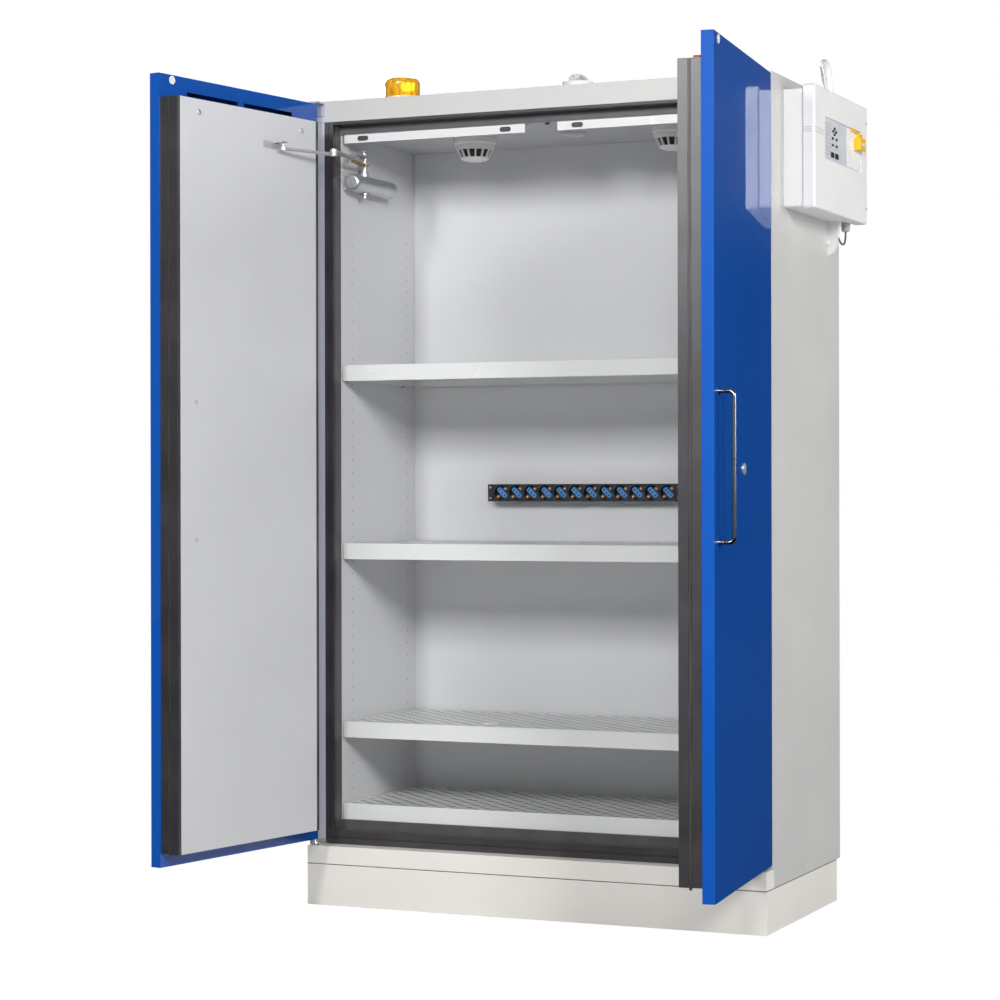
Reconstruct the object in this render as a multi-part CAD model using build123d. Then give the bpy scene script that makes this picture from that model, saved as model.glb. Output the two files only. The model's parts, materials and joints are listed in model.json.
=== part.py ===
from build123d import *
import math
import os

# Fire-resistant charging cabinet for batteries. Millimetres, +Z up. The origin is on the floor
# under the middle of the plinth, X runs across the front and the doors face -Y. The doors are
# modelled closed and then swung open about their hinge pins.

# ---- overall body ----
width = 1197.0
depth = 600.0
height = 2005.0
outer_sheet = 1.5
fit_gap = 0.3
seam_gap = 0.3

# ---- plinth ----
plinth_height = 102.7
plinth_setback = 28.0
plinth_sheet = 3.0
plinth_flange = 40.0
bearer_width = 80.0

# ---- front frame ----
frame_setback = 45.0
sill_height = 44.0
header_height = 52.0
post_width = 27.5
seal_width = 25.0
seal_thickness = 12.0
seal_groove_width = 2.4
seal_groove_depth = 2.0
reveal_depth = 41.0
reveal_thickness = 10.0
bottom_seal_height = 33.0
top_seal_height = 7.0
stop_thickness = 4.5
stop_height_bottom = 24.0
stop_height_top = 20.0

# ---- walls and lining ----
wall_side = 53.5
wall_back = 89.0
wall_top = 80.0
wall_bottom = 57.0
liner_sheet = 4.0

# ---- shelves ----
shelf_thickness = 2.0
shelf_lip = 40.0
shelf_side_gap = 1.5
shelf_front_gap = 2.0
shelf_back_gap = 8.0
shelf_heights = (450.0, 898.0, 1346.0)
slot_columns = 12
slot_rows = 4
slot_length = 46.0
slot_width = 14.0
slot_margin_x = 60.0
slot_margin_y = 60.0
shelf_pin_radius = 3.0
shelf_pin_reach = 12.0
pin_hole_clearance = 0.05
shelf_pin_front = 25.0
shelf_pin_spacing = 316.0

# ---- doors ----
pan_inset = 1.5
door_gap = 4.0
pan_depth = 27.6
pan_sheet = 1.5
pan_flange = 58.0
door_bottom_gap = 14.0
door_top_gap = 9.0
core_bottom_gap = 13.5
core_top_gap = 6.3
core_free_gap = 3.0
core_hinge_gap = 11.0
core_depth = 51.4
inner_panel_sheet = 1.2
edging_side = 11.0
edging_end = 5.0
edging_groove_width = 7.0
edging_groove_depth = 3.0
edging_groove_place = 22.4
vent_slot_length = 187.0
vent_slot_height = 20.0
vent_slot_web = 23.0
seat_clearance = 0.05
plug_radius = 8.0
plug_lip = 2.0
plug_head = 1.0
plug_from_edge = 46.0
plug_from_top = 12.0
door_screw_radius = 7.0
door_screw_head = 1.6
door_screw_free_inset = 65.0
door_screw_hinge_inset = 57.0
door_screw_drop = 30.0
buffer_length = 22.0
buffer_width = 14.0
buffer_height = 6.0
buffer_from_edge = 34.0
left_door_angle = 99.8
right_door_angle = 96.2

# ---- hinges ----
hinge_from_side = 6.7
hinge_from_front = 14.2
hinge_pin_radius = 4.0
hinge_pin_clearance = 0.05
hinge_plate = 4.0
hinge_pin_reach = 22.0
hinge_block_size = 22.0
hinge_block_height = 26.0
hinge_top_gap = 2.0
hinge_edge = 1.0
hinge_leg_top = 30.0
hinge_leg_bottom = 12.0
washer_radius = 6.5
washer_gap = 0.2

# ---- handles and lock ----
handle_rod = 10.0
handle_spacing = 320.0
handle_standoff = 32.0
handle_bend = 11.0
handle_from_edge = 45.5
handle_middle = 1079.5
handle_foot_radius = 8.0
handle_foot_height = 2.0
lock_from_edge = 294.0
lock_drop = 3.0
rosette_radius = 13.0
rosette_height = 3.0
rosette_bevel = 1.0
lock_barrel_radius = 9.0
lock_barrel_length = 20.0
plug_bore_radius = 6.5
plug_bore_clearance = 0.05
lock_plug_length = 14.0
keyway_width = 1.6
keyway_height = 8.0
keyway_depth = 6.0

# ---- door closers ----
closer_from_wall = 28.0
closer_from_front = 161.6
closer_body_radius = 22.0
closer_body_length = 226.0
closer_front_length = 76.0
closer_below_ceiling = 119.0
closer_foot_width = 36.0
closer_foot_inset = 12.0
closer_end_round = 7.7
closer_hub_radius = 12.0
closer_hub_rise = 4.0
closer_spindle_radius = 7.0
closer_spindle_clearance = 0.05
closer_collar_radius = 9.5
closer_collar_height = 6.0
closer_nut_radius = 8.0
closer_nut_height = 8.0
closer_head_height = 10.0
closer_head_bevel = 2.0
arm_length = 240.0
forearm_length = 157.0
arm_below_ceiling = 52.0
arm_drop = 14.0
arm_crank_share = 0.32
arm_ramp = 24.0
arm_thickness = 6.0
arm_width = 18.0
arm_tip_width = 14.0
elbow_radius = 10.0
elbow_pin_radius = 4.0
elbow_pin_clearance = 0.05
elbow_cap_radius = 7.0
elbow_cap_height = 2.0
elbow_cap_gap = 0.5
far_eye_radius = 8.0
forearm_rod = 7.0
forearm_eye = 8.0
forearm_sleeve = 10.0
forearm_sleeve_length = 50.0
forearm_gap = 0.8
bracket_from_hinge = 222.8
bracket_reach = 22.0
bracket_length = 60.0
bracket_height = 16.0
bracket_sheet = 2.5
bracket_edge = 4.0
bracket_ledge = 12.0
ball_stud_radius = 4.0
ball_stud_length = 12.0
link_length = 98.0
link_width = 12.0
link_thickness = 5.0
link_drop = 15.0
link_rivet = (3.0, 2.0)

# ---- ceiling fittings ----
rail_height = 21.5
rail_sheet = 1.5
rail_foot = 30.0
rail_inner_end = 43.0
rail_outer_gap = 8.0
rail_plug_length = 30.0
rail_plug_height = 12.5
rail_plug_inset = 52.0
detector_spacing = 537.0
detector_from_back = 218.0
detector_radius = 53.5
detector_base_height = 16.0
detector_head_height = 41.0
detector_dome_radius = 33.0
detector_rim_inset = 4.0
detector_rim_depth = 10.0
detector_nose_step = 8.0
valve_radius = 34.0
valve_thickness = 6.0

# ---- socket strip ----
socket_count = 12
socket_pitch = 41.9
strip_height = 45.0
strip_depth = 44.0
strip_cap_length = 17.6
strip_level = 1024.0
strip_offset = -44.0
strip_wall = 2.0
insert_depth = 30.0
well_radius = 19.0
well_depth = 17.5
insert_gap = 0.3

# ---- lamps on the roof ----
lamp_from_front = 200.0
beacon_x = -430.0
signal_x = 50.0
lamp_base_radius = 50.0
lamp_base_height = 35.0
lamp_bevel = 1.0
beacon_lens_radius = 49.0
beacon_lens_height = 40.0
beacon_lens_round = 14.0
signal_dome_radius = 33.0
signal_dome_height = 17.0

# ---- control unit ----
unit_from_back = 16.0
unit_length = 444.0
unit_height = 279.0
unit_wall = 3.0
unit_below_roof = 308.0
unit_box_depth = 48.5
cover_depth = 29.0
cover_overhang = 4.0
cover_top_overhang = 9.0
cover_round = 9.0
cover_edge_round = 5.4
window_length = 315.0
window_height = 101.0
window_depth = 5.0
window_round = 3.0
window_from_start = 80.0
window_from_bottom = 120.0
display_sheet = 1.5
clip_length = 46.0
clip_height = 30.0
clip_depth = 18.0
clip_tab_height = 12.0
clip_from_window_end = 12.0
clip_from_window_top = 20.0
clip_bevel = 2.0
gland_radius = 10.5
gland_nut_margin = 1.7
gland_nut = 9.0
gland_height = 24.0
gland_bevel = 3.5
gland_floor = 6.0
gland_from_back = 60.0
gland_from_wall = 35.0
hood_length = 84.0
hood_width = 20.0
hood_from_back = 90.0
hood_top_reach = 30.0
hood_bottom_reach = 12.0
hood_collar = 12.0
hood_step = 2.0
hood_taper = 8.0
hood_bend = 26.0
hood_clip = (6.0, 12.0, 10.0)
cable_diameter = 5.0
cable_stations = (
    (0.0, 0.0, 2.0), (0.0, 0.0, -15.0), (-2.0, -4.0, -32.0), (-8.0, -17.0, -31.0), (-12.0, -25.0, -15.0))
sharpest_bend = 1.5
cable_hole_clearance = 0.05
conduit_diameter = 20.0
conduit_fitting_radius = 13.3
conduit_fitting_height = 16.0
conduit_seat = 4.0
conduit_from_back = 161.0
conduit_roof_inset = 14.5
conduit_roof_back = 32.0
conduit_stations = (
    (0.0, 0.0, 15.0), (0.07, 5.0, 54.0), (0.28, 12.0, 82.0), (0.62, 16.0, 87.0), (0.9, 11.0, 58.0),
    (1.0, 0.0, 26.0))
panel_screw_radius = 5.0
panel_screw_head = 1.6
panel_screw_level = 121.0
panel_screw_front_inset = 31.5
panel_screw_rear_inset = 42.2

# ---- places worked out from the sizes above ----
front = -depth / 2
back = depth / 2
half_width = width / 2
body_bottom = plinth_height + seam_gap
sill_top = body_bottom + sill_height
frame_front = front + frame_setback
frame_back = frame_front + reveal_depth
liner_x = half_width - wall_side
liner_back_y = back - wall_back
ceiling = height - wall_top
floor_level = sill_top + wall_bottom
opening_x = half_width - post_width - seal_width
opening_bottom = sill_top + bottom_seal_height
opening_top = height - header_height - top_seal_height
hinge_x = half_width - hinge_from_side
hinge_y = front + hinge_from_front
door_bottom = sill_top + door_bottom_gap
door_top = height - door_top_gap
pan_outer_x = half_width - pan_inset
pan_inner_x = door_gap / 2
pan_back = front + pan_depth
core_inner_x = pan_inner_x + core_free_gap
core_outer_x = opening_x - core_hinge_gap
core_bottom = opening_bottom + core_bottom_gap
core_top = opening_top - core_top_gap
core_back = pan_back + core_depth
inner_face = core_back + inner_panel_sheet
closer_level = ceiling - closer_below_ceiling
arm_level = ceiling - arm_below_ceiling
unit_bottom = height - unit_below_roof
unit_top = unit_bottom + unit_height
unit_end = back - unit_from_back
unit_start = unit_end - unit_length
lid_x = half_width + unit_box_depth
window_x = lid_x + cover_depth - window_depth
window_end = unit_start + window_from_start + window_length
window_top = unit_bottom + window_from_bottom + window_height
opening_angle = {-1: left_door_angle, 1: right_door_angle}


def block(x_range, y_range, z_range):
    """Box between two values on each axis."""
    sizes = [abs(high - low) for low, high in (x_range, y_range, z_range)]
    middle = [(low + high) / 2 for low, high in (x_range, y_range, z_range)]
    return Pos(*middle) * Box(*sizes)


def disc(radius, thickness, place, axis="z"):
    """Cylinder that starts at place and runs along +axis."""
    turn = {"x": Rot(0, 90, 0), "y": Rot(-90, 0, 0), "z": Rot(0, 0, 0)}[axis]
    solid = Cylinder(radius, thickness, align=(Align.CENTER, Align.CENTER, Align.MIN))
    return Pos(*place) * turn * solid


def sided(part, side):
    """The part as drawn for the right side, or mirrored for the left."""
    return part if side > 0 else mirror(part, about=Plane.YZ)


def swing(part, side):
    """Mirror a closed right-hand door part to its side and swing it to the open rest pose."""
    turn = side * opening_angle[side]
    to_pin = Pos(side * hinge_x, hinge_y, 0)
    from_pin = Pos(-side * hinge_x, -hinge_y, 0)
    return to_pin * Rot(0, 0, turn) * from_pin * sided(part, side)


def save(name, *parts):
    """Write the solids of one node to its STEP file."""
    solids = [solid for part in parts for solid in part.solids()]
    shape = solids[0] if len(solids) == 1 else Compound(solids)
    shape.label = name
    export_step(shape, os.path.join("parts", name + ".step"))


# ---- cabinet body ----

def base_frame():
    """Open-bottomed plinth of folded sheet with a centre bearer across it."""
    z_range = (0, plinth_height)
    outer = block((-half_width, half_width), (front, back - plinth_setback), z_range)
    inset = plinth_sheet
    inner = block(
        (-half_width + inset, half_width - inset),
        (front + inset, back - plinth_setback - inset),
        (-inset, plinth_height - inset))
    flange = plinth_flange
    hole = block(
        (-half_width + flange, half_width - flange),
        (front + flange, back - plinth_setback - flange),
        (plinth_height - 2 * inset, plinth_height + inset))
    bearer = block(
        (-bearer_width / 2, bearer_width / 2),
        (front + inset, back - plinth_setback - inset),
        (0, plinth_height - inset))
    return outer - inner - hole + bearer


def sill_panel():
    """Folded front beam under the doors, hollow behind."""
    sheet = outer_sheet
    outer = block((-half_width, half_width), (front, frame_front + seal_thickness), (body_bottom, sill_top))
    inner = block(
        (-half_width + sheet, half_width - sheet),
        (front + sheet, frame_front + seal_thickness + sheet),
        (body_bottom + sheet, sill_top - sheet))
    return outer - inner


def side_panel(side):
    """Outer side sheet with its front post flange and rear flange."""
    sheet = outer_sheet
    top = height - sheet - fit_gap
    skin = block((half_width - sheet, half_width), (frame_front, back), (sill_top + fit_gap, top))
    lower = block(
        (half_width - sheet, half_width),
        (frame_front + seal_thickness + fit_gap, back),
        (body_bottom, sill_top + fit_gap))
    post = block(
        (half_width - post_width, half_width),
        (frame_front, frame_front + sheet),
        (sill_top + fit_gap, height - header_height - fit_gap))
    rear = block((half_width - post_width, half_width), (back - sheet, back), (body_bottom, top))
    header_notch = block(
        (half_width - 2 * sheet, half_width + sheet),
        (frame_front - sheet, frame_front + sheet + fit_gap),
        (height - header_height - fit_gap, height))
    return sided(skin + lower + post + rear - header_notch, side)


def rear_panel():
    x = half_width - post_width - fit_gap
    return block((-x, x), (back - outer_sheet, back), (body_bottom, height - outer_sheet - fit_gap))


def roof_panel():
    """Roof sheet; its front edge folds down behind the header."""
    sheet = outer_sheet
    top = block((-half_width, half_width), (frame_front + sheet + fit_gap, back), (height - sheet, height))
    return top


def header_panel():
    """Front header: face, roof-side fold and a fold back over the seal."""
    sheet = outer_sheet
    x = half_width - sheet - fit_gap
    low = height - header_height
    face = block((-half_width, half_width), (frame_front, frame_front + sheet), (low, height))
    fold = block((-x, x), (frame_front, frame_front + seal_thickness), (low, low + sheet))
    return face + fold


def frame_boards():
    """Boards that fill the front frame behind the sill, posts and header."""
    start = frame_front + seal_thickness + fit_gap
    sheet = outer_sheet + fit_gap
    x = half_width - sheet
    inside = opening_x + reveal_thickness + fit_gap
    post = block((inside, x), (start, frame_back), (sill_top + fit_gap, height - header_height - fit_gap))
    sill = block((-x, x), (front + sheet, start - 2 * fit_gap), (body_bottom + sheet, sill_top - sheet))
    low_z = (body_bottom + sheet, opening_bottom - reveal_thickness - fit_gap)
    low = block((-inside, inside), (start, frame_back), low_z)
    high_z = (opening_top + reveal_thickness + fit_gap, height - sheet)
    high = block((-x, x), (frame_front + sheet, frame_back), high_z)
    return [post, sided(post, -1), sill, low, high]


def insulation_boards():
    """Fire-resistant boards between the outer sheets and the lining."""
    sheet = outer_sheet + fit_gap
    lined = liner_sheet + fit_gap
    side_y = (frame_back + fit_gap, back - sheet)
    side_x = (liner_x + lined, half_width - sheet)
    z_range = (body_bottom + sheet, height - sheet)
    inner_x = liner_x + liner_sheet
    side = block(side_x, side_y, z_range)
    rear = block((-inner_x, inner_x), (liner_back_y + lined, back - sheet), z_range)
    mid_y = (frame_back + fit_gap, liner_back_y + liner_sheet)
    roof = block((-inner_x, inner_x), mid_y, (ceiling + lined, height - sheet))
    base = block((-inner_x, inner_x), mid_y, (body_bottom + sheet, floor_level - lined))
    return [side, sided(side, -1), rear, roof, base, *frame_boards()]


def shelf_pin_places():
    """Front and rear height-adjustment holes at each shelf, on one side wall."""
    first = shelf_front() + shelf_pin_front
    return [
        (first + step, level - shelf_lip - shelf_pin_radius)
        for level in shelf_heights
        for step in (0, shelf_pin_spacing)]


def side_liner(side):
    """Side lining board with the holes that hold the shelf pins."""
    y_range = (frame_back, liner_back_y + liner_sheet)
    board = block((liner_x, liner_x + liner_sheet), y_range, (floor_level, ceiling))
    radius = shelf_pin_radius + pin_hole_clearance
    for y, z in shelf_pin_places():
        board -= disc(radius, 3 * liner_sheet, (liner_x - liner_sheet, y, z), "x")
    return sided(board, side)


def rear_liner():
    x = liner_x - fit_gap
    return block((-x, x), (liner_back_y, liner_back_y + liner_sheet), (floor_level, ceiling))


def ceiling_liner():
    x = liner_x + liner_sheet
    return block((-x, x), (frame_back, liner_back_y + liner_sheet), (ceiling, ceiling + liner_sheet))


def floor_liner():
    x = liner_x + liner_sheet
    return block((-x, x), (frame_back, liner_back_y + liner_sheet), (floor_level - liner_sheet, floor_level))


def ring_strips(x_out, x_in, z_low, z_low_in, z_high_in, z_high, y_range):
    """Four butt-jointed strips round the door opening."""
    upright = block((x_in, x_out), y_range, (z_low_in, z_high_in))
    low = block((-x_out, x_out), y_range, (z_low, z_low_in))
    high = block((-x_out, x_out), y_range, (z_high_in, z_high))
    return upright, sided(upright, -1), low, high


def frame_seal():
    """Grooved black sealing strips on the face of the front frame."""
    x_out = opening_x + seal_width - fit_gap
    low = sill_top + fit_gap
    high = height - header_height - fit_gap
    y_range = (frame_front, frame_front + seal_thickness)
    strips = ring_strips(x_out, opening_x, low, opening_bottom, opening_top, high, y_range)
    groove_x = opening_x + seal_width / 2
    groove_y = (frame_front - 1, frame_front + seal_groove_depth)
    half = seal_groove_width / 2
    upright_groove = block((groove_x - half, groove_x + half), groove_y, (0, height))
    middle = (low + opening_bottom) / 2
    low_groove = block((-half_width, half_width), groove_y, (middle - half, middle + half))
    right, left, bottom, top = strips
    return [right - upright_groove, left - sided(upright_groove, -1), bottom - low_groove, top]


def jamb_lining():
    """Black lining of the reveal behind the seal, with the stops above and below."""
    x_out = opening_x + reveal_thickness
    y_range = (frame_front + seal_thickness, frame_back - fit_gap)
    strips = ring_strips(
        x_out, opening_x, opening_bottom - reveal_thickness, opening_bottom,
        opening_top, opening_top + reveal_thickness, y_range)
    stop_y = (frame_back - stop_thickness, frame_back - fit_gap)
    x = opening_x
    low_stop = block((-x, x), stop_y, (opening_bottom, opening_bottom + stop_height_bottom))
    high_stop = block((-x, x), stop_y, (opening_top - stop_height_top, opening_top))
    return [*strips, low_stop, high_stop]


# ---- shelves ----

def shelf_front():
    return frame_back + shelf_front_gap


def shelf(top, lip):
    """Perforated sheet shelf with lips folded down all round."""
    x = liner_x - shelf_side_gap
    rear = liner_back_y - shelf_back_gap
    body = block((-x, x), (shelf_front(), rear), (top - lip, top))
    body -= block(
        (-x + shelf_thickness, x - shelf_thickness),
        (shelf_front() + shelf_thickness, rear - shelf_thickness),
        (top - 2 * lip, top - shelf_thickness))
    pitch_x = (2 * x - 2 * slot_margin_x) / (slot_columns - 1)
    pitch_y = (rear - shelf_front() - 2 * slot_margin_y) / (slot_rows - 1)
    slot = Box(slot_length, slot_width, 4 * shelf_thickness)
    slots = [
        Pos(-x + slot_margin_x + column * pitch_x, shelf_front() + slot_margin_y + row * pitch_y, top) * slot
        for column in range(slot_columns)
        for row in range(slot_rows)]
    return body - slots


def shelf_pins():
    """Pins in the side walls, four to a shelf."""
    pins = []
    for side in (-1, 1):
        for y, z in shelf_pin_places():
            start = liner_x - shelf_pin_reach
            pin = disc(shelf_pin_radius, shelf_pin_reach + liner_sheet, (start, y, z), "x")
            pins.append(sided(pin, side))
    return pins


# ---- ceiling fittings ----

def rail_window(length, height, thickness, place):
    """Round-ended block across the rail's web."""
    outline = Plane.XZ * SlotOverall(length, height)
    return Pos(*place) * extrude(outline, thickness / 2, both=True)


def rail_plug_places():
    outer = liner_x - rail_outer_gap - rail_plug_inset
    inner = rail_inner_end + rail_plug_inset
    web = shelf_front() + rail_sheet / 2
    return [(x, web, ceiling - rail_height / 2) for x in (outer, inner)]


def ceiling_rail(side):
    """Angle along the front of the ceiling with two round-ended windows."""
    x_range = (rail_inner_end, liner_x - rail_outer_gap)
    start = shelf_front()
    web = block(x_range, (start, start + rail_sheet), (ceiling - rail_height, ceiling))
    foot = block(x_range, (start, start + rail_foot), (ceiling - rail_sheet, ceiling))
    rail = web + foot
    for place in rail_plug_places():
        rail -= rail_window(rail_plug_length, rail_plug_height, 4 * rail_sheet, place)
    return sided(rail, side)


def rail_plug(place, side):
    """Rubber plug pressed into a window of the ceiling rail."""
    plug = rail_window(rail_plug_length - fit_gap, rail_plug_height - fit_gap, 2 * rail_sheet, place)
    return sided(plug, side)


def detector_places():
    y = liner_back_y - detector_from_back
    return [(side * detector_spacing / 2, y) for side in (-1, 1)]


def detector_base(x, y):
    low = ceiling - detector_base_height
    base = disc(detector_radius, detector_base_height, (x, y, low))
    return chamfer(base.edges().sort_by(Axis.Z)[0], detector_base_height / 4)


def detector_head(x, y):
    """Sensing head: a shallow bowl with a stepped, tapering nose."""
    top = ceiling - detector_base_height
    rim = detector_radius - detector_rim_inset
    nose = detector_dome_radius
    step = detector_nose_step
    low = -detector_head_height
    points = [
        (0, 0), (rim, 0), (rim, -detector_rim_depth), (nose + step, -detector_rim_depth - step),
        (nose + step, low + step), (nose, low), (0, low)]
    outline = Plane.XZ * make_face(Polyline(*points, close=True))
    return Pos(x, y, top) * revolve(outline, Axis.Z)


def ceiling_valve():
    """Round air valve plate in the middle of the ceiling."""
    y = liner_back_y - detector_from_back
    plate = disc(valve_radius, valve_thickness, (0, y, ceiling - valve_thickness))
    return chamfer(plate.edges().sort_by(Axis.Z)[0], valve_thickness / 2)


# ---- socket strip ----

def socket_places():
    first = strip_offset - socket_pitch * (socket_count - 1) / 2
    return [first + number * socket_pitch for number in range(socket_count)]


def strip_half_length():
    return socket_count * socket_pitch / 2


def socket_housing():
    """Channel profile on the rear wall and its two end caps."""
    half = strip_half_length()
    y_range = (liner_back_y - strip_depth, liner_back_y)
    z_range = (strip_level - strip_height / 2, strip_level + strip_height / 2)
    channel = block((strip_offset - half, strip_offset + half), y_range, z_range)
    inner_z = strip_height / 2 - strip_wall
    channel -= block(
        (strip_offset - 2 * half, strip_offset + 2 * half),
        (y_range[0] - strip_wall, y_range[1] - strip_wall),
        (strip_level - inner_z, strip_level + inner_z))
    cap_x = (strip_offset + half, strip_offset + half + strip_cap_length)
    cap = block(cap_x, y_range, z_range)
    cap = chamfer(cap.edges().group_by(Axis.Y)[0], strip_wall)
    other = Pos(-2 * half - strip_cap_length, 0, 0) * cap
    return [channel, cap, other]


def socket_insert(x):
    """Socket module: a square block with its round plug well."""
    half_x = socket_pitch / 2 - insert_gap / 2
    half_z = strip_height / 2 - strip_wall - insert_gap
    start = liner_back_y - strip_depth
    z_range = (strip_level - half_z, strip_level + half_z)
    body = block((x - half_x, x + half_x), (start, start + insert_depth), z_range)
    return body - disc(well_radius, 2 * well_depth, (x, start - well_depth, strip_level), "y")


# ---- lamps on the roof ----

def lamp_place(x):
    return (x, front + lamp_from_front, height)


def lamp_base(x):
    base = disc(lamp_base_radius, lamp_base_height, lamp_place(x))
    return chamfer(base.edges().sort_by(Axis.Z)[-1], lamp_bevel)


def beacon_lens():
    """Low drum lens with a generously rounded shoulder."""
    lens = disc(beacon_lens_radius, beacon_lens_height, (0, 0, 0))
    lens = fillet(lens.edges().sort_by(Axis.Z)[-1], beacon_lens_round)
    x, y, z = lamp_place(beacon_x)
    return Pos(x, y, z + lamp_base_height) * lens


def signal_dome():
    """Shallow spherical cap over the signal lamp's reflector."""
    rise = signal_dome_height
    ball = (signal_dome_radius ** 2 + rise ** 2) / (2 * rise)
    cap = Pos(0, 0, rise - ball) * Sphere(ball)
    cap = cap & block((-ball, ball), (-ball, ball), (0, ball))
    x, y, z = lamp_place(signal_x)
    return Pos(x, y, z + lamp_base_height) * cap


# ---- control unit on the right side ----

def unit_shape(x_range, grow_sides, grow_top, rounding):
    """Block over the unit's outline, grown by the given overhangs, with rounded corners."""
    shape = block(
        x_range, (unit_start - grow_sides, unit_end + grow_sides),
        (unit_bottom - grow_sides, unit_top + grow_top))
    return fillet(shape.edges().filter_by(Axis.X), rounding)


def unit_back_box():
    """Wall box of the unit, open towards its lid."""
    box = unit_shape((half_width, lid_x), 0, 0, cover_round - cover_overhang)
    wall = unit_wall
    inner = unit_shape((half_width + wall, lid_x + wall), -wall, -wall, wall / 2)
    return box - inner


def unit_cover():
    """Moulded lid with rounded edges and the recessed display window."""
    wall = unit_wall
    cover = unit_shape((lid_x, lid_x + cover_depth), cover_overhang, cover_top_overhang, cover_round)
    cover = fillet(cover.faces().sort_by(Axis.X)[-1].edges(), cover_edge_round)
    inner = unit_shape((lid_x - wall, window_x - wall), -wall, -wall, wall / 2)
    return cover - inner - window_block(window_x, window_x + cover_depth, 0)


def window_block(x_low, x_high, gap):
    """Block with the outline of the display window, made smaller by gap."""
    shape = block(
        (x_low, x_high), (window_end - window_length + gap, window_end - gap),
        (window_top - window_height + gap, window_top - gap))
    return fillet(shape.edges().filter_by(Axis.X), window_round)


def display_panel():
    return window_block(window_x, window_x + display_sheet, fit_gap)


def seal_clip():
    """Yellow clip on the display: a thick tag with a tab over its top edge."""
    x = window_x + display_sheet
    end = window_end - clip_from_window_end
    top = window_top - clip_from_window_top
    tag = block((x, x + clip_depth), (end - clip_length, end), (top - clip_height, top))
    tag = chamfer(tag.faces().sort_by(Axis.X)[-1].edges(), clip_bevel)
    tab = block(
        (x, x + clip_depth / 2), (end - clip_length / 2, end), (top - clip_bevel, top + clip_tab_height))
    return tag + tab


def gland_body(radius, length, place):
    """Cable gland: hexagon nut and domed cap, drawn upwards from its seat."""
    nut = extrude(RegularPolygon(radius + gland_nut_margin, 6), gland_nut)
    cap = disc(radius, length - gland_nut, (0, 0, gland_nut))
    cap = chamfer(cap.edges().sort_by(Axis.Z)[-1], gland_bevel)
    return Pos(*place) * (nut + cap)


def gland_place():
    return (half_width + gland_from_wall, back - gland_from_back, unit_bottom)


def conduit_ends():
    """Seats of the two conduit fittings: on the unit's back box and on the roof."""
    on_unit = (half_width + unit_box_depth / 2, back - conduit_from_back, unit_top)
    on_roof = (half_width - conduit_roof_inset, back - conduit_roof_back, height)
    return on_unit, on_roof


def cable_glands():
    """Gland under the unit and the two conduit fittings."""
    x, y, z = gland_place()
    low = Pos(x, y, z) * Rot(180, 0, 0) * gland_body(gland_radius, gland_height, (0, 0, 0))
    bore = cable_diameter / 2 + cable_hole_clearance
    low -= disc(bore, gland_height, (x, y, z - gland_height - gland_floor))
    fittings = [low]
    for px, py, pz in conduit_ends():
        body = gland_body(conduit_fitting_radius, conduit_fitting_height, (px, py, pz))
        bore = conduit_diameter / 2 + cable_hole_clearance
        fittings.append(body - disc(bore, conduit_fitting_height, (px, py, pz + conduit_seat)))
    return fittings


def arc_route(points, sharpest):
    """Straight runs joined by tangent arcs as large as the runs allow; prints the radii."""
    radii = []
    for before, here, after in zip(points, points[1:], points[2:]):
        into = Vector(*here) - Vector(*before)
        out = Vector(*after) - Vector(*here)
        turn = math.radians(into.get_angle(out))
        radii.append(0.45 * min(into.length, out.length) / math.tan(turn / 2))
    print("arc radii", [round(radius, 1) for radius in radii], "sharpest allowed", sharpest)
    return FilletPolyline(*points, radius=radii)


def tube(points, diameter, sharpest):
    """Plain round tube along a route, with its volume compared with section times length."""
    path = arc_route(points, sharpest)
    start = Vector(*points[0])
    section = Plane(origin=start, z_dir=path % 0) * Circle(diameter / 2)
    solid = sweep(section, path=path)
    expected = math.pi * diameter ** 2 / 4 * path.length
    print("tube length", round(path.length, 1), "volume ratio", round(solid.volume / expected, 4))
    return solid


def unit_cable(diameter):
    """Short lead that drops from the gland under the unit and turns up into the hood."""
    x, y, z = gland_place()
    low = z - gland_height
    points = [(x + right, y + rear, low + rise) for right, rear, rise in cable_stations]
    return tube(points, diameter, sharpest_bend * cable_diameter)


def conduit():
    """Flexible conduit looping from the unit's top over to the roof, bulging to the front."""
    (ax, ay, az), (bx, by, bz) = conduit_ends()
    span = Vector(bx - ax, by - ay)
    bulge = Vector(span.Y, -span.X).normalized() * -1
    points = [(ax, ay, az + conduit_seat)]
    for share, out, rise in conduit_stations:
        points.append((ax + span.X * share + bulge.X * out, ay + span.Y * share + bulge.Y * out, bz + rise))
    points.append((bx, by, bz + conduit_seat))
    return tube(points, conduit_diameter, sharpest_bend * conduit_diameter)


def cable_hood():
    """Tapered hood that leads the cable from the unit's underside into the side panel."""
    y = back - hood_from_back
    top = unit_bottom
    low = top - hood_length
    bend = low + hood_bend
    x = half_width
    reach = x + hood_top_reach
    outline = [
        (x, top), (reach, top), (reach, top - hood_collar), (reach - hood_step, top - hood_collar),
        (reach - hood_taper, bend), (x + hood_bottom_reach, low + hood_step * 3),
        (x + hood_step, low), (x, low)]
    face = Plane.XZ * make_face(Polyline(*outline, close=True))
    hood = Pos(0, y, 0) * extrude(face, hood_width / 2, both=True)
    clip = block((x, x + hood_clip[0]), (y - hood_width / 2 - hood_clip[1], y), (bend, bend + hood_clip[2]))
    return hood + clip - unit_cable(cable_diameter + 2 * cable_hole_clearance)


def panel_screws():
    """Dome-headed screws along the lower edge of both side panels."""
    first = frame_front + panel_screw_front_inset
    last = back - panel_screw_rear_inset
    screws = []
    for side in (-1, 1):
        for y in (first, (first + last) / 2, last):
            head = disc(panel_screw_radius, panel_screw_head, (half_width, y, panel_screw_level), "x")
            head = chamfer(head.edges().sort_by(Axis.X)[-1], panel_screw_head / 2)
            screws.append(sided(head, side))
    return screws


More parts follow.
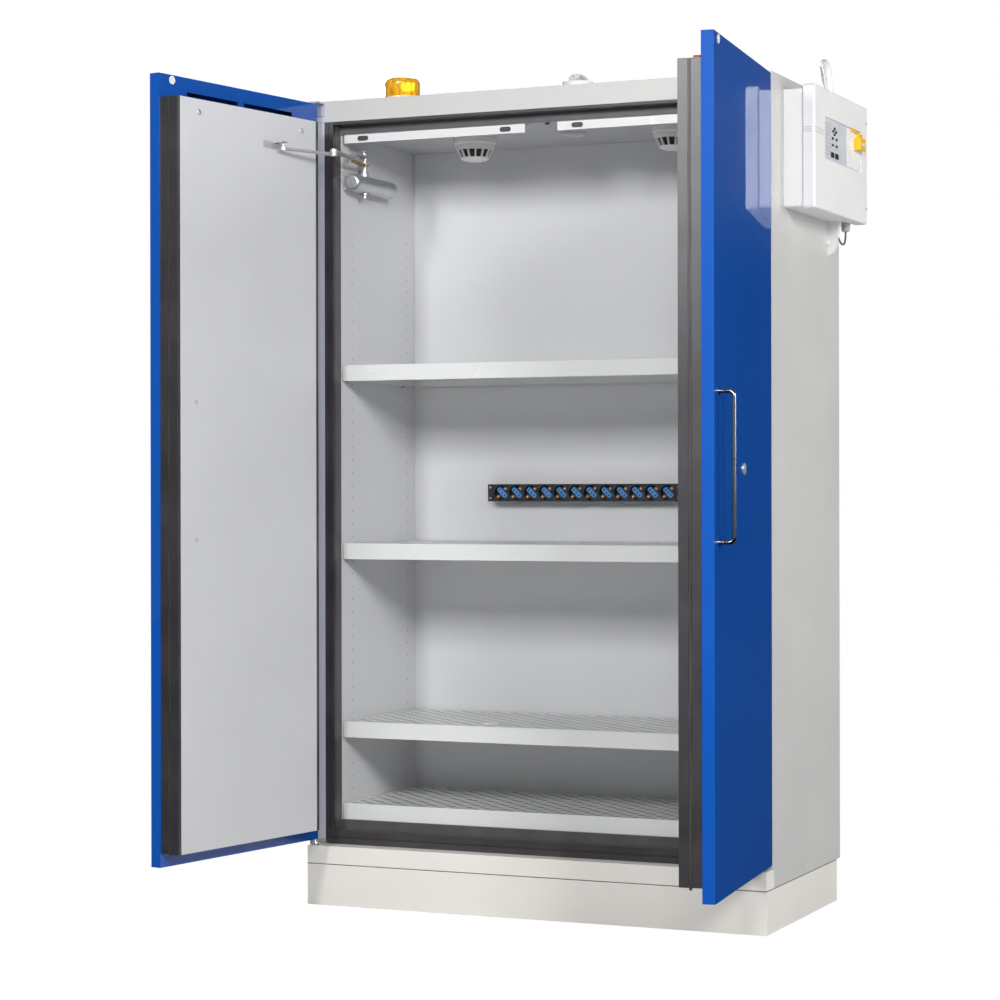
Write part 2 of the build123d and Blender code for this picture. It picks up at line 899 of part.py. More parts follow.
# ---- hinges ----

def hinge_bracket(top):
    """Hinge plate fixed to the front frame, with its pin reaching into the door."""
    level = door_top + hinge_top_gap if top else sill_top
    inner = hinge_x - hinge_block_size
    outer = hinge_x + hinge_pin_radius
    y_range = (hinge_y - hinge_pin_radius - hinge_edge, frame_front)
    plate = block((inner, outer), y_range, (level, level + hinge_plate))
    leg = block(
        (inner, outer), (frame_front - hinge_plate, frame_front),
        (level - hinge_leg_top, level) if top else (level, level + hinge_leg_bottom))
    pin_low = level - hinge_pin_reach if top else level
    pin = disc(hinge_pin_radius, hinge_pin_reach + hinge_plate, (hinge_x, hinge_y, pin_low))
    washer_low = door_top + washer_gap if top else level + hinge_plate
    washer_high = level if top else door_bottom - washer_gap
    washer = disc(washer_radius, washer_high - washer_low, (hinge_x, hinge_y, washer_low))
    return plate + leg + pin + washer


# ---- doors, drawn closed on the right ----

def door_pan():
    """Folded outer door sheet with flanges, vent slots and hinge blocks."""
    sheet = pan_sheet
    x_range = (pan_inner_x, pan_outer_x)
    z_range = (door_bottom, door_top)
    pan = block(x_range, (front, pan_back), z_range)
    pan -= block(
        (pan_inner_x + sheet, pan_outer_x - sheet), (front + sheet, pan_back - sheet),
        (door_bottom + sheet, door_top - sheet))
    pan -= block(
        (core_inner_x + pan_flange, core_outer_x - pan_flange), (pan_back - 2 * sheet, pan_back + sheet),
        (core_bottom + pan_flange, core_top - pan_flange))
    middle = (pan_inner_x + pan_outer_x) / 2
    for direction in (-1, 1):
        centre = middle + direction * (vent_slot_web + vent_slot_length) / 2
        pan -= block(
            (centre - vent_slot_length / 2, centre + vent_slot_length / 2),
            (pan_back - 2 * sheet, pan_back + sheet),
            (core_top + core_free_gap, core_top + core_free_gap + vent_slot_height))
    for low in (door_bottom, door_top - hinge_block_height):
        pan += block(
            (pan_outer_x - hinge_block_size, pan_outer_x), (front, pan_back), (low, low + hinge_block_height))
    bore = hinge_pin_radius + hinge_pin_clearance
    depth_of_bore = hinge_pin_reach + hinge_block_height
    pan -= disc(bore, depth_of_bore, (hinge_x, hinge_y, door_bottom - hinge_block_height))
    pan -= disc(bore, depth_of_bore, (hinge_x, hinge_y, door_top - hinge_pin_reach))
    pan -= disc(plug_radius + seat_clearance, pan_depth * 2, plug_place(-pan_depth / 2), "y")
    return pan


def lock_place(y_offset):
    return (pan_inner_x + lock_from_edge, front + y_offset, handle_middle - lock_drop)


def plug_place(y_offset):
    return (pan_inner_x + plug_from_edge, front + y_offset, door_top - plug_from_top)


def locked_door_pan():
    """Right door sheet, with the hole for the lock cylinder."""
    return door_pan() - lock_hole()


def lock_hole():
    """Hole through the right door's sheet and into its board for the lock cylinder."""
    radius = lock_barrel_radius + seat_clearance
    return disc(radius, lock_barrel_length + 2 * pan_sheet, lock_place(-pan_sheet), "y")


def door_core():
    """Insulating board between the pan and the inner panel, stepped to fill the pan."""
    board = block(
        (core_inner_x + edging_side, core_outer_x - edging_side), (pan_back, core_back),
        (core_bottom + edging_end, core_top - edging_end))
    inset = pan_flange + fit_gap
    filling = block(
        (core_inner_x + inset, core_outer_x - inset), (front + pan_sheet + fit_gap, pan_back),
        (core_bottom + inset, core_top - inset))
    return board + filling


def door_buffer():
    """Rubber buffer on top of the door's edging, near the free edge."""
    start = core_inner_x + buffer_from_edge
    return block(
        (start, start + buffer_width), (pan_back + fit_gap, pan_back + buffer_length),
        (core_top, core_top + buffer_height))


def door_edging():
    """Black edging round the board, with the sealing groove along its outer faces."""
    y_range = (pan_back, core_back)
    upright_in = block((core_inner_x, core_inner_x + edging_side), y_range, (core_bottom, core_top))
    upright_out = block((core_outer_x - edging_side, core_outer_x), y_range, (core_bottom, core_top))
    groove_y = (pan_back + edging_groove_place, pan_back + edging_groove_place + edging_groove_width)
    reach = edging_groove_depth
    upright_in -= block((core_inner_x - reach, core_inner_x + reach), groove_y, (0, height))
    upright_out -= block((core_outer_x - reach, core_outer_x + reach), groove_y, (0, height))
    end_x = (core_inner_x + edging_side, core_outer_x - edging_side)
    low = block(end_x, y_range, (core_bottom, core_bottom + edging_end))
    high = block(end_x, y_range, (core_top - edging_end, core_top))
    return [upright_in, upright_out, low, high]


def inner_panel():
    return block(
        (core_inner_x + edging_side, core_outer_x - edging_side), (core_back, inner_face),
        (core_bottom, core_top))


def handle():
    """Bent-rod pull handle on two round feet."""
    x = pan_inner_x + handle_from_edge
    low = handle_middle - handle_spacing / 2
    high = handle_middle + handle_spacing / 2
    foot_y = front - handle_foot_height
    points = [
        (x, foot_y, low), (x, front - handle_standoff, low),
        (x, front - handle_standoff, high), (x, foot_y, high)]
    path = FilletPolyline(*points, radius=handle_bend)
    section = Plane(origin=points[0], z_dir=(0, -1, 0)) * Circle(handle_rod / 2)
    rod = sweep(section, path=path)
    for level in (low, high):
        rod += disc(handle_foot_radius, handle_foot_height, (x, foot_y, level), "y")
    return rod


def bracket_pivot():
    """Pivot on the door that the closer's forearm reaches, with the door closed."""
    return (hinge_x - bracket_from_hinge, inner_face + bracket_reach)


def forearm_top():
    return arm_level - arm_drop - forearm_gap


def closer_bracket():
    """Angle bracket on the inner panel with the ball stud pointing down."""
    x, y = bracket_pivot()
    stud_low = forearm_top() + forearm_gap
    top = stud_low + ball_stud_length
    end = x + ball_stud_radius + bracket_edge
    foot = block(
        (end - bracket_length, end), (inner_face, inner_face + bracket_sheet), (top - bracket_height, top))
    ledge = block(
        (x - bracket_ledge, end), (inner_face, y + ball_stud_radius + bracket_edge),
        (top - bracket_sheet, top))
    stud = disc(ball_stud_radius, ball_stud_length, (x, y, stud_low))
    return foot + ledge + stud


def door_screws():
    """Cover-headed screws through the inner panel near its top corners."""
    low_x = core_inner_x + edging_side + door_screw_free_inset
    high_x = core_outer_x - edging_side - door_screw_hinge_inset
    return [
        disc(door_screw_radius, door_screw_head, (x, inner_face, core_top - door_screw_drop), "y")
        for x in (low_x, high_x)]


def door_plug():
    """Plastic plug through the pan near its top free corner."""
    plug = disc(plug_radius, pan_depth, plug_place(0), "y")
    outer = disc(plug_radius + plug_lip, plug_head, plug_place(-plug_head), "y")
    inner = disc(plug_radius + plug_lip, plug_head, plug_place(pan_depth), "y")
    return plug + outer + inner


def lock_cylinder():
    """Lock body through the right door, with its rosette and the bore for the plug."""
    x, y, z = lock_place(0)
    body = disc(rosette_radius, rosette_height, lock_place(-rosette_height), "y")
    body = chamfer(body.edges().sort_by(Axis.Y)[0], rosette_bevel)
    body += disc(lock_barrel_radius, lock_barrel_length, (x, y, z), "y")
    bore = plug_bore_radius + plug_bore_clearance
    return body - disc(bore, lock_plug_length + fit_gap, (x, y - rosette_height, z), "y")


def lock_plug():
    """Turning plug with its keyway."""
    x, y, z = lock_place(-rosette_height)
    plug = disc(plug_bore_radius, lock_plug_length, (x, y, z), "y")
    half = keyway_width / 2
    keyway = block(
        (x - half, x + half), (y - keyway_depth, y + keyway_depth),
        (z - keyway_height / 2, z + keyway_height / 2))
    return plug - keyway


# ---- door closers ----

def spindle_place(side):
    return (side * (liner_x - closer_from_wall), front + closer_from_front)


def linkage(side, opening):
    """Arm and forearm angles in degrees and the pivot points, for a door opened by opening degrees."""
    sx, sy = spindle_place(side)
    px, py = bracket_pivot()
    pivot = Vector(side * (px - hinge_x), py - hinge_y).rotate(Axis.Z, side * opening)
    tip = Vector(side * hinge_x, hinge_y) + pivot
    span = tip - Vector(sx, sy)
    cosine = (arm_length ** 2 + span.length ** 2 - forearm_length ** 2) / (2 * arm_length * span.length)
    lean = math.degrees(math.acos(cosine))
    arm_angle = math.degrees(math.atan2(span.Y, span.X)) - side * lean
    elbow = Vector(sx, sy) + Vector(arm_length, 0).rotate(Axis.Z, arm_angle)
    reach = tip - elbow
    forearm_angle = math.degrees(math.atan2(reach.Y, reach.X))
    return arm_angle, forearm_angle, elbow, tip


def closer_body(side):
    """Hydraulic closer: round body along the side wall, on its foot."""
    sx, sy = spindle_place(1)
    start = sy - closer_front_length
    body = disc(closer_body_radius, closer_body_length, (sx, start, closer_level), "y")
    body = fillet(body.edges().filter_by(GeomType.CIRCLE), closer_end_round)
    foot = block(
        (sx, liner_x), (start + closer_foot_inset, start + closer_body_length - closer_foot_inset),
        (closer_level - closer_foot_width / 2, closer_level + closer_foot_width / 2))
    hub_reach = closer_body_radius + closer_hub_rise
    hub = disc(closer_hub_radius, 2 * hub_reach, (sx, sy, closer_level - hub_reach))
    bore = disc(
        closer_spindle_radius + closer_spindle_clearance, 4 * closer_body_radius,
        (sx, sy, closer_level - 2 * closer_body_radius))
    return sided(body + foot + hub - bore, side)


def closer_arm(side):
    """Spindle, collar and cranked main arm, which turn together."""
    sx, sy = spindle_place(side)
    angle, _, _, _ = linkage(side, opening_angle[side])
    hub_reach = closer_body_radius + closer_hub_rise
    low = closer_level - hub_reach - closer_nut_height
    spindle = disc(closer_spindle_radius, arm_level + arm_thickness - low, (0, 0, low))
    nut = disc(closer_nut_radius, closer_nut_height - fit_gap, (0, 0, low))
    collar = disc(closer_collar_radius, closer_collar_height, (0, 0, closer_level + hub_reach + fit_gap))
    neck = disc(closer_collar_radius, closer_collar_height, (0, 0, arm_level - closer_collar_height))
    head = disc(closer_nut_radius, closer_head_height, (0, 0, arm_level + arm_thickness))
    head = chamfer(head.edges().sort_by(Axis.Z)[-1], closer_head_bevel)
    half = arm_width / 2
    crank = arm_crank_share * arm_length
    ramp = crank + arm_ramp
    thick = arm_thickness
    side_view = [
        (0, arm_level), (crank, arm_level), (ramp, arm_level - arm_drop), (arm_length, arm_level - arm_drop),
        (arm_length, arm_level - arm_drop + thick), (ramp, arm_level - arm_drop + thick),
        (crank, arm_level + thick), (0, arm_level + thick)]
    bar = extrude(Plane.XZ * make_face(Polyline(*side_view, close=True)), half, both=True)
    tip_half = arm_tip_width / 2
    taper = [(0, -half), (arm_length, -tip_half), (arm_length, tip_half), (0, half)]
    bar &= extrude(make_face(Polyline(*taper, close=True)), height)
    bar += disc(arm_width / 2, thick, (0, 0, arm_level))
    eye = disc(elbow_radius, thick, (arm_length, 0, arm_level - arm_drop))
    bore_radius = elbow_pin_radius + elbow_pin_clearance
    bore = disc(bore_radius, 4 * thick, (arm_length, 0, arm_level - arm_drop - thick))
    arm = spindle + nut + collar + neck + head + bar + eye - bore
    return Pos(sx, sy, 0) * Rot(0, 0, angle) * arm


def closer_forearm(side):
    """Forearm rod in its adjusting sleeve, with the elbow pin and the far eye."""
    _, angle, elbow, _ = linkage(side, opening_angle[side])
    top = forearm_top()
    thick = forearm_eye
    middle = top - thick / 2
    eye = disc(elbow_radius, thick, (0, 0, top - thick))
    pin_top = arm_level - arm_drop + arm_thickness
    pin = disc(elbow_pin_radius, pin_top + elbow_cap_gap - top + thick, (0, 0, top - thick))
    cap = disc(elbow_cap_radius, elbow_cap_height, (0, 0, pin_top + elbow_cap_gap))
    sleeve = disc(forearm_sleeve / 2, forearm_sleeve_length, (elbow_cap_radius, 0, middle), "x")
    rod = disc(forearm_rod / 2, forearm_length - elbow_radius, (elbow_cap_radius, 0, middle), "x")
    far_eye = disc(far_eye_radius, thick, (forearm_length, 0, top - thick))
    sleeve &= block((0, forearm_length), (-forearm_sleeve, forearm_sleeve), (middle - forearm_sleeve, top))
    arm = eye + pin + cap + sleeve + rod + far_eye
    return Pos(elbow.X, elbow.Y, 0) * Rot(0, 0, angle) * arm


def closer_link(side):
    """Brass fusible link and its lever on the closer's neck."""
    angle, _, _, _ = linkage(side, opening_angle[side])
    sx, sy = spindle_place(side)
    top = arm_level - link_drop
    z_range = (top - link_thickness, top)
    bar = block((closer_spindle_radius, link_length), (-link_width / 2, link_width / 2), z_range)
    ring = disc(closer_collar_radius + link_rivet[1], link_thickness, (0, 0, top - link_thickness))
    rivet = disc(*link_rivet, (link_length - link_width / 2, 0, top - link_thickness - link_rivet[1]))
    link = bar + ring + rivet
    link -= disc(closer_spindle_radius, 4 * link_thickness, (0, 0, top - 2 * link_thickness))
    return Pos(sx, sy, 0) * Rot(0, 0, angle) * link


def print_motion():
    """Print the pivots and the constant ratios that tie each closer to its door."""
    for side in (-1, 1):
        arm_open, forearm_open, elbow, tip = linkage(side, opening_angle[side])
        arm_shut, forearm_shut, _, _ = linkage(side, 0)
        arm_turn = (arm_shut - arm_open + 180) % 360 - 180
        bend = (forearm_shut - arm_shut) - (forearm_open - arm_open)
        bend = (bend + 180) % 360 - 180
        door_turn = -side * opening_angle[side]
        print("side", side, "spindle", spindle_place(side), "elbow", tuple(elbow), "door pivot", tuple(tip))
        print("  arm ratio", arm_turn / door_turn, "forearm ratio", bend / door_turn)


def main():
    os.makedirs("parts", exist_ok=True)
    save("base_frame", base_frame())
    save("sill_panel", sill_panel())
    save("side_panels", side_panel(-1), side_panel(1))
    save("rear_panel", rear_panel())
    save("roof_panel", roof_panel())
    save("header_panel", header_panel())
    save("insulation_boards", *insulation_boards())
    save("side_liners", side_liner(-1), side_liner(1))
    save("rear_liner", rear_liner())
    save("ceiling_liner", ceiling_liner())
    save("floor_liner", floor_liner())
    save("frame_seal", *frame_seal())
    save("jamb_lining", *jamb_lining())
    save("shelves", *[shelf(level, shelf_lip) for level in shelf_heights])
    save("floor_tray", shelf(floor_level + fit_gap + shelf_lip, shelf_lip))
    save("shelf_pins", *shelf_pins())
    save("ceiling_rails", ceiling_rail(-1), ceiling_rail(1))
    save("rail_plugs", *[rail_plug(place, side) for side in (-1, 1) for place in rail_plug_places()])
    save("detector_bases", *[detector_base(x, y) for x, y in detector_places()])
    save("detector_heads", *[detector_head(x, y) for x, y in detector_places()])
    save("ceiling_valve", ceiling_valve())
    save("socket_housing", *socket_housing())
    save("socket_inserts", *[socket_insert(x) for x in socket_places()])
    save("lamp_bases", lamp_base(beacon_x), lamp_base(signal_x))
    save("beacon_lens", beacon_lens())
    save("signal_dome", signal_dome())
    save("unit_back_box", unit_back_box())
    save("unit_cover", unit_cover())
    save("display_panel", display_panel())
    save("seal_clip", seal_clip())
    save("cable_glands", *cable_glands())
    save("unit_cable", unit_cable(cable_diameter))
    save("conduit", conduit())
    save("cable_hood", cable_hood())
    save("panel_screws", *panel_screws())
    save("hinge_brackets", *[sided(hinge_bracket(top), side) for side in (-1, 1) for top in (False, True)])
    save("closer_bodies", closer_body(-1), closer_body(1))
    for side, word in ((-1, "left"), (1, "right")):
        save("door_pan_" + word, swing(door_pan() if side < 0 else locked_door_pan(), side))
        save("door_core_" + word, swing(door_core() if side < 0 else door_core() - lock_hole(), side))
        save("door_edging_" + word, *[swing(strip, side) for strip in door_edging()])
        save("door_panel_" + word, swing(inner_panel(), side))
        save("door_handle_" + word, swing(handle(), side))
        save("door_hardware_" + word, swing(closer_bracket(), side), *[swing(s, side) for s in door_screws()])
        save("door_plug_" + word, swing(door_plug(), side))
        save("closer_arm_" + word, closer_arm(side))
        save("closer_forearm_" + word, closer_forearm(side))
        save("closer_link_" + word, closer_link(side))
    save("door_buffer", swing(door_buffer(), 1))
    save("lock_cylinder", swing(lock_cylinder(), 1))
    save("lock_plug", swing(lock_plug(), 1))
    print_motion()
    print("nodes", len(os.listdir("parts")))


main()
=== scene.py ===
import json
import math
import bpy
import bmesh
from mathutils import Matrix, Vector


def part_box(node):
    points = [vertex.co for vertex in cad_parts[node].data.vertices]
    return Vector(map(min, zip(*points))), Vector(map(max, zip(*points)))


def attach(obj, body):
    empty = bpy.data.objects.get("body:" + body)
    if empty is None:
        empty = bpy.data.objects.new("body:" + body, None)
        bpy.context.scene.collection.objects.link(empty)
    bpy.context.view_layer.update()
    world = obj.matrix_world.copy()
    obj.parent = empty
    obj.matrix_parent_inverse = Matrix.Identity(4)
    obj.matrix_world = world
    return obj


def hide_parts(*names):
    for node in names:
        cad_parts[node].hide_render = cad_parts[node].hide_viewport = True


# Looks for the battery charging cabinet. Metres, +Z up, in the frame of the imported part.

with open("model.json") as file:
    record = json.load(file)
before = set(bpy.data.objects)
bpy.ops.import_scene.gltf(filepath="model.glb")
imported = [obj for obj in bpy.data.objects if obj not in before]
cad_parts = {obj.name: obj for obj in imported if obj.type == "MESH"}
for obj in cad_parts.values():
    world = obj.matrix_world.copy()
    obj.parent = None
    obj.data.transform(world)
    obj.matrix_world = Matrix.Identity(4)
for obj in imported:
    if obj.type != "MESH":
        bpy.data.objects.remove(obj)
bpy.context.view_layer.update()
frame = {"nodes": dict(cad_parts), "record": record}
nodes = frame["nodes"]
MM = 0.001

# ---- measures of the doors, in metres, each door in its own closed frame ----
HINGE_X, HINGE_Y = 0.5918, -0.2858
LEFT_OPEN, RIGHT_OPEN = -99.8, 96.2
PANEL_FACE_Y = -0.2198
PAN_BACK_Y = -0.2724
CORE_FOOT_Z, CORE_TOP_Z = 0.1885, 1.9390
FREE_EDGE_X, HINGE_EDGE_X = 0.005, 0.535
COVER_PLACES_X, COVER_Z = (0.081, 0.467), 1.9097
MARK_PLACES = ((-0.070, 1.236), (-0.070, 0.917))

# ---- measures of the closers and of the raster of pin holes, in metres ----
CLOSER_X, CLOSER_VALVE_Z = 0.517, 1.806
SPINDLE_Y, SPINDLE_TOP_Z = -0.1384, 1.889
HOLE_COLUMNS_Y = (-0.155, 0.164)
LOWEST_HOLE_Z, HOLE_PITCH, HOLES = 0.275, 0.032, 45

# ---- socket strip ----
SOCKETS = 12
SOCKET_GAP = 0.3 * MM

# Turns a shape's own height towards +Y, out of a door's inner panel.
INWARD = Matrix(((1, 0, 0), (0, 0, 1), (0, 1, 0))).to_4x4()

# ---- places taken from the frame ----
_, right_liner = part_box("side_liners")
ceiling_low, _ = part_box("ceiling_liner")
shelf_low, shelf_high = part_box("shelves")
tray_low, tray_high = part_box("floor_tray")
strip_low, strip_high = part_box("socket_housing")
insert_low, insert_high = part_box("socket_inserts")
cover_low, cover_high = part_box("unit_cover")
display_low, display_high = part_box("display_panel")
beacon_low, beacon_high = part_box("beacon_lens")
dome_low, dome_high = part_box("signal_dome")
heads_low, heads_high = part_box("detector_heads")
valve_low, valve_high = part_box("ceiling_valve")
liner_x = right_liner.x - 4 * MM
ceiling_z = ceiling_low.z


# ---- camera ----

def aim_camera():
    """Level camera fitted to the photograph, with a small vertical shift."""
    data = bpy.data.cameras.new("camera")
    data.sensor_width = 36.0
    data.lens = 93.02
    data.shift_y = -0.01025
    data.clip_end = 100.0
    camera = bpy.data.objects.new("camera", data)
    camera.location = (2.4382, -6.0069, 1.03185)
    camera.rotation_euler = (math.radians(90.0), math.radians(0.11), math.radians(23.744))
    bpy.context.scene.collection.objects.link(camera)
    bpy.context.scene.camera = camera
    bpy.context.scene.view_settings.view_transform = "Standard"


# ---- materials ----

def new_material(name):
    material = bpy.data.materials.new(name)
    material.use_nodes = True
    tree = material.node_tree
    return material, tree.nodes, tree.links, tree.nodes["Principled BSDF"]


def add_noise(node_list, links, scale, detail=3.0, stretch=(1.0, 1.0, 1.0)):
    """Noise over the object's own space, stretched along the axes given."""
    place = node_list.new("ShaderNodeTexCoord")
    mapping = node_list.new("ShaderNodeMapping")
    mapping.inputs["Scale"].default_value = stretch
    noise = node_list.new("ShaderNodeTexNoise")
    noise.inputs["Scale"].default_value = scale
    noise.inputs["Detail"].default_value = detail
    links.new(place.outputs["Object"], mapping.inputs["Vector"])
    links.new(mapping.outputs["Vector"], noise.inputs["Vector"])
    return noise


def mottle_colour(node_list, links, shader, colour, spread, noise):
    ramp = node_list.new("ShaderNodeValToRGB")
    low = [max(0.0, part * (1.0 - spread)) for part in colour]
    high = [min(1.0, part * (1.0 + spread)) for part in colour]
    ramp.color_ramp.elements[0].position = 0.3
    ramp.color_ramp.elements[1].position = 0.7
    ramp.color_ramp.elements[0].color = (*low, 1.0)
    ramp.color_ramp.elements[1].color = (*high, 1.0)
    links.new(noise.outputs["Fac"], ramp.inputs["Fac"])
    links.new(ramp.outputs["Color"], shader.inputs["Base Color"])


def vary_roughness(node_list, links, shader, rough, spread, noise):
    span = node_list.new("ShaderNodeMapRange")
    span.inputs["To Min"].default_value = max(0.02, rough - spread)
    span.inputs["To Max"].default_value = min(1.0, rough + spread)
    links.new(noise.outputs["Fac"], span.inputs["Value"])
    links.new(span.outputs["Result"], shader.inputs["Roughness"])


def add_bump(node_list, links, shader, height, strength, distance):
    bump = node_list.new("ShaderNodeBump")
    bump.inputs["Strength"].default_value = strength
    bump.inputs["Distance"].default_value = distance
    links.new(height, bump.inputs["Height"])
    links.new(bump.outputs["Normal"], shader.inputs["Normal"])


def finish_of(name, colour, rough, metallic=0.0, spread=0.03, scale=4.0, grain=0.12, grain_scale=900.0,
              coat=0.0, coat_rough=0.06, specular=0.5, stretch=(1.0, 1.0, 1.0)):
    """Painted, moulded or metal finish: mottled colour, uneven roughness and a fine grain."""
    material, node_list, links, shader = new_material(name)
    broad = add_noise(node_list, links, scale, 4.0, stretch)
    fine = add_noise(node_list, links, grain_scale, 2.0, stretch)
    mottle_colour(node_list, links, shader, colour, spread, broad)
    vary_roughness(node_list, links, shader, rough, 0.05, broad)
    add_bump(node_list, links, shader, fine.outputs["Fac"], grain, 0.0002)
    shader.inputs["Metallic"].default_value = metallic
    shader.inputs["Specular IOR Level"].default_value = specular
    shader.inputs["Coat Weight"].default_value = coat
    shader.inputs["Coat Roughness"].default_value = coat_rough
    return material


def amber_lens():
    """Translucent amber plastic with brighter and deeper patches between its ribs, and a faint painted glow.
    """
    material, node_list, links, shader = new_material("amber_lens")
    broad = add_noise(node_list, links, 150.0, 2.0, (1.0, 1.0, 0.35))
    mottle_colour(node_list, links, shader, (0.95, 0.42, 0.015), 0.45, broad)
    vary_roughness(node_list, links, shader, 0.10, 0.04, broad)
    shader.inputs["Transmission Weight"].default_value = 0.35
    shader.inputs["IOR"].default_value = 1.35
    # Weak emission: a painted glow, since the lens holds no lit lamp.
    shader.inputs["Emission Color"].default_value = (1.0, 0.40, 0.01, 1.0)
    shader.inputs["Emission Strength"].default_value = 0.12
    shader.inputs["Coat Weight"].default_value = 1.0
    shader.inputs["Coat Roughness"].default_value = 0.02
    return material


def clear_dome():
    material, node_list, links, shader = new_material("clear_dome")
    broad = add_noise(node_list, links, 40.0)
    mottle_colour(node_list, links, shader, (0.93, 0.94, 0.96), 0.02, broad)
    vary_roughness(node_list, links, shader, 0.06, 0.02, broad)
    shader.inputs["Transmission Weight"].default_value = 0.92
    shader.inputs["IOR"].default_value = 1.25
    return material


def ribbed_conduit():
    """Pale corrugated plastic: rings along the tube's length."""
    material, node_list, links, shader = new_material("ribbed_conduit")
    broad = add_noise(node_list, links, 30.0)
    mottle_colour(node_list, links, shader, (0.86, 0.87, 0.87), 0.05, broad)
    vary_roughness(node_list, links, shader, 0.42, 0.05, broad)
    place = node_list.new("ShaderNodeTexCoord")
    wave = node_list.new("ShaderNodeTexWave")
    wave.bands_direction = "X"
    wave.inputs["Scale"].default_value = 14.0
    links.new(place.outputs["UV"], wave.inputs["Vector"])
    add_bump(node_list, links, shader, wave.outputs["Fac"], 0.7, 0.0012)
    return material


def make_materials():
    """Every finish by its name: colour, roughness and what differs from the usual."""
    finishes = {
        "body grey": ((0.55, 0.548, 0.538), 0.42, dict(specular=0.4)),
        # Warmer and lighter than the body grey: partly the plinth's own tint, partly painted light from
        # below.
        "plinth grey": ((0.775, 0.75, 0.705), 0.45, dict(specular=0.4)),
        "door blue": ((0.003, 0.080, 0.40), 0.4, dict(
            spread=0.04, grain=0.02, coat=1.0, coat_rough=0.03, specular=0.1)),
        "panel grey": ((0.63, 0.635, 0.655), 0.38, dict(specular=0.4)),
        "insulating board": ((0.62, 0.60, 0.56), 0.9, dict(spread=0.1, grain=0.6)),
        "lining board": ((0.68, 0.685, 0.70), 0.48, dict(spread=0.02, specular=0.35)),
        "seal black": ((0.043, 0.039, 0.040), 0.42, dict(
            spread=0.25, scale=9.0, grain=0.4, grain_scale=260.0)),
        "edging black": ((0.032, 0.030, 0.034), 0.34, dict(
            spread=0.25, scale=12.0, grain=0.35, grain_scale=420.0, specular=1.0)),
        # Darker copy of the lining board: painted shade on the ceiling under the header.
        "ceiling board shade": ((0.50, 0.505, 0.52), 0.5, dict(spread=0.02, specular=0.35)),
        # Near-black floor liner: painted shade under the tray, seen through its slots.
        "sump board shade": ((0.10, 0.10, 0.105), 0.6, dict(spread=0.1)),
        "arm steel": ((0.50, 0.50, 0.51), 0.38, dict(metallic=0.6, spread=0.08, scale=30.0)),
        "jamb film": ((0.085, 0.083, 0.088), 0.45, dict(spread=0.15, scale=14.0, grain=0.3)),
        "shelf paint": ((0.70, 0.71, 0.705), 0.26, dict(spread=0.02, specular=0.6)),
        "steel": ((0.62, 0.62, 0.625), 0.36, dict(metallic=0.55, grain=0.2)),
        "white plastic": ((0.80, 0.80, 0.79), 0.35, dict(grain=0.08)),
        "unit plastic": ((0.78, 0.78, 0.77), 0.45, dict(grain=0.25, grain_scale=1300.0)),
        "socket black": ((0.018, 0.018, 0.021), 0.45, dict(spread=0.2, scale=40.0)),
        "socket blue": ((0.07, 0.28, 0.68), 0.32, dict(spread=0.12, scale=60.0)),
        "display film": ((0.60, 0.62, 0.66), 0.30, dict(spread=0.05, scale=20.0)),
        "yellow plastic": ((0.86, 0.50, 0.012), 0.35, dict(spread=0.06, scale=30.0)),
        "grey plastic": ((0.40, 0.39, 0.37), 0.5, dict(grain=0.3)),
        "cable black": ((0.10, 0.09, 0.085), 0.45, dict(spread=0.2, grain=0.3)),
        "closer silver": ((0.56, 0.57, 0.58), 0.34, dict(metallic=0.8, spread=0.06, scale=14.0)),
        "handle chrome": ((0.34, 0.34, 0.35), 0.20, dict(metallic=1.0, spread=0.1)),
        "lock chrome": ((0.80, 0.79, 0.80), 0.30, dict(metallic=0.75, spread=0.05)),
        "link brass": ((0.55, 0.38, 0.12), 0.3, dict(metallic=1.0, spread=0.18, scale=50.0)),
        "red rubber": ((0.45, 0.02, 0.015), 0.55, dict(spread=0.15, scale=40.0)),
        # Dark grey for the pin holes: painted shade inside the holes.
        "pin hole": ((0.28, 0.28, 0.29), 0.8, dict(spread=0.3, scale=80.0)),
        # Near-black rims of the shelf sheet: painted shade inside the slots and along the cut edges.
        "slot edge shade": ((0.15, 0.155, 0.155), 0.7, dict(spread=0.2, scale=80.0)),
        "pale print": ((0.80, 0.80, 0.80), 0.4, dict(spread=0.05, scale=60.0)),
        "joint line": ((0.07, 0.065, 0.06), 0.8, dict(spread=0.2, scale=40.0)),
        # Near-black finish: painted shade in socket holes, screw slots, sunk lid screws and detector
        # chambers; the ceiling clip's own dark colour.
        "dark part and recess shade": ((0.035, 0.036, 0.040), 0.8, dict(spread=0.3, scale=80.0)),
        # Grey lines: painted shade in the lid grooves, and the seam's own dark joint.
        "groove shade and seam line": ((0.36, 0.36, 0.35), 0.7, dict(spread=0.1, scale=80.0)),
        "copper": ((0.90, 0.52, 0.32), 0.30, dict(metallic=0.6, spread=0.15, scale=80.0)),
    }
    made = {
        name: finish_of(name.replace(" ", "_"), colour, rough, **more)
        for name, (colour, rough, more) in finishes.items()}
    made["amber lens"] = amber_lens()
    made["clear dome"] = clear_dome()
    made["conduit white"] = ribbed_conduit()
    return made


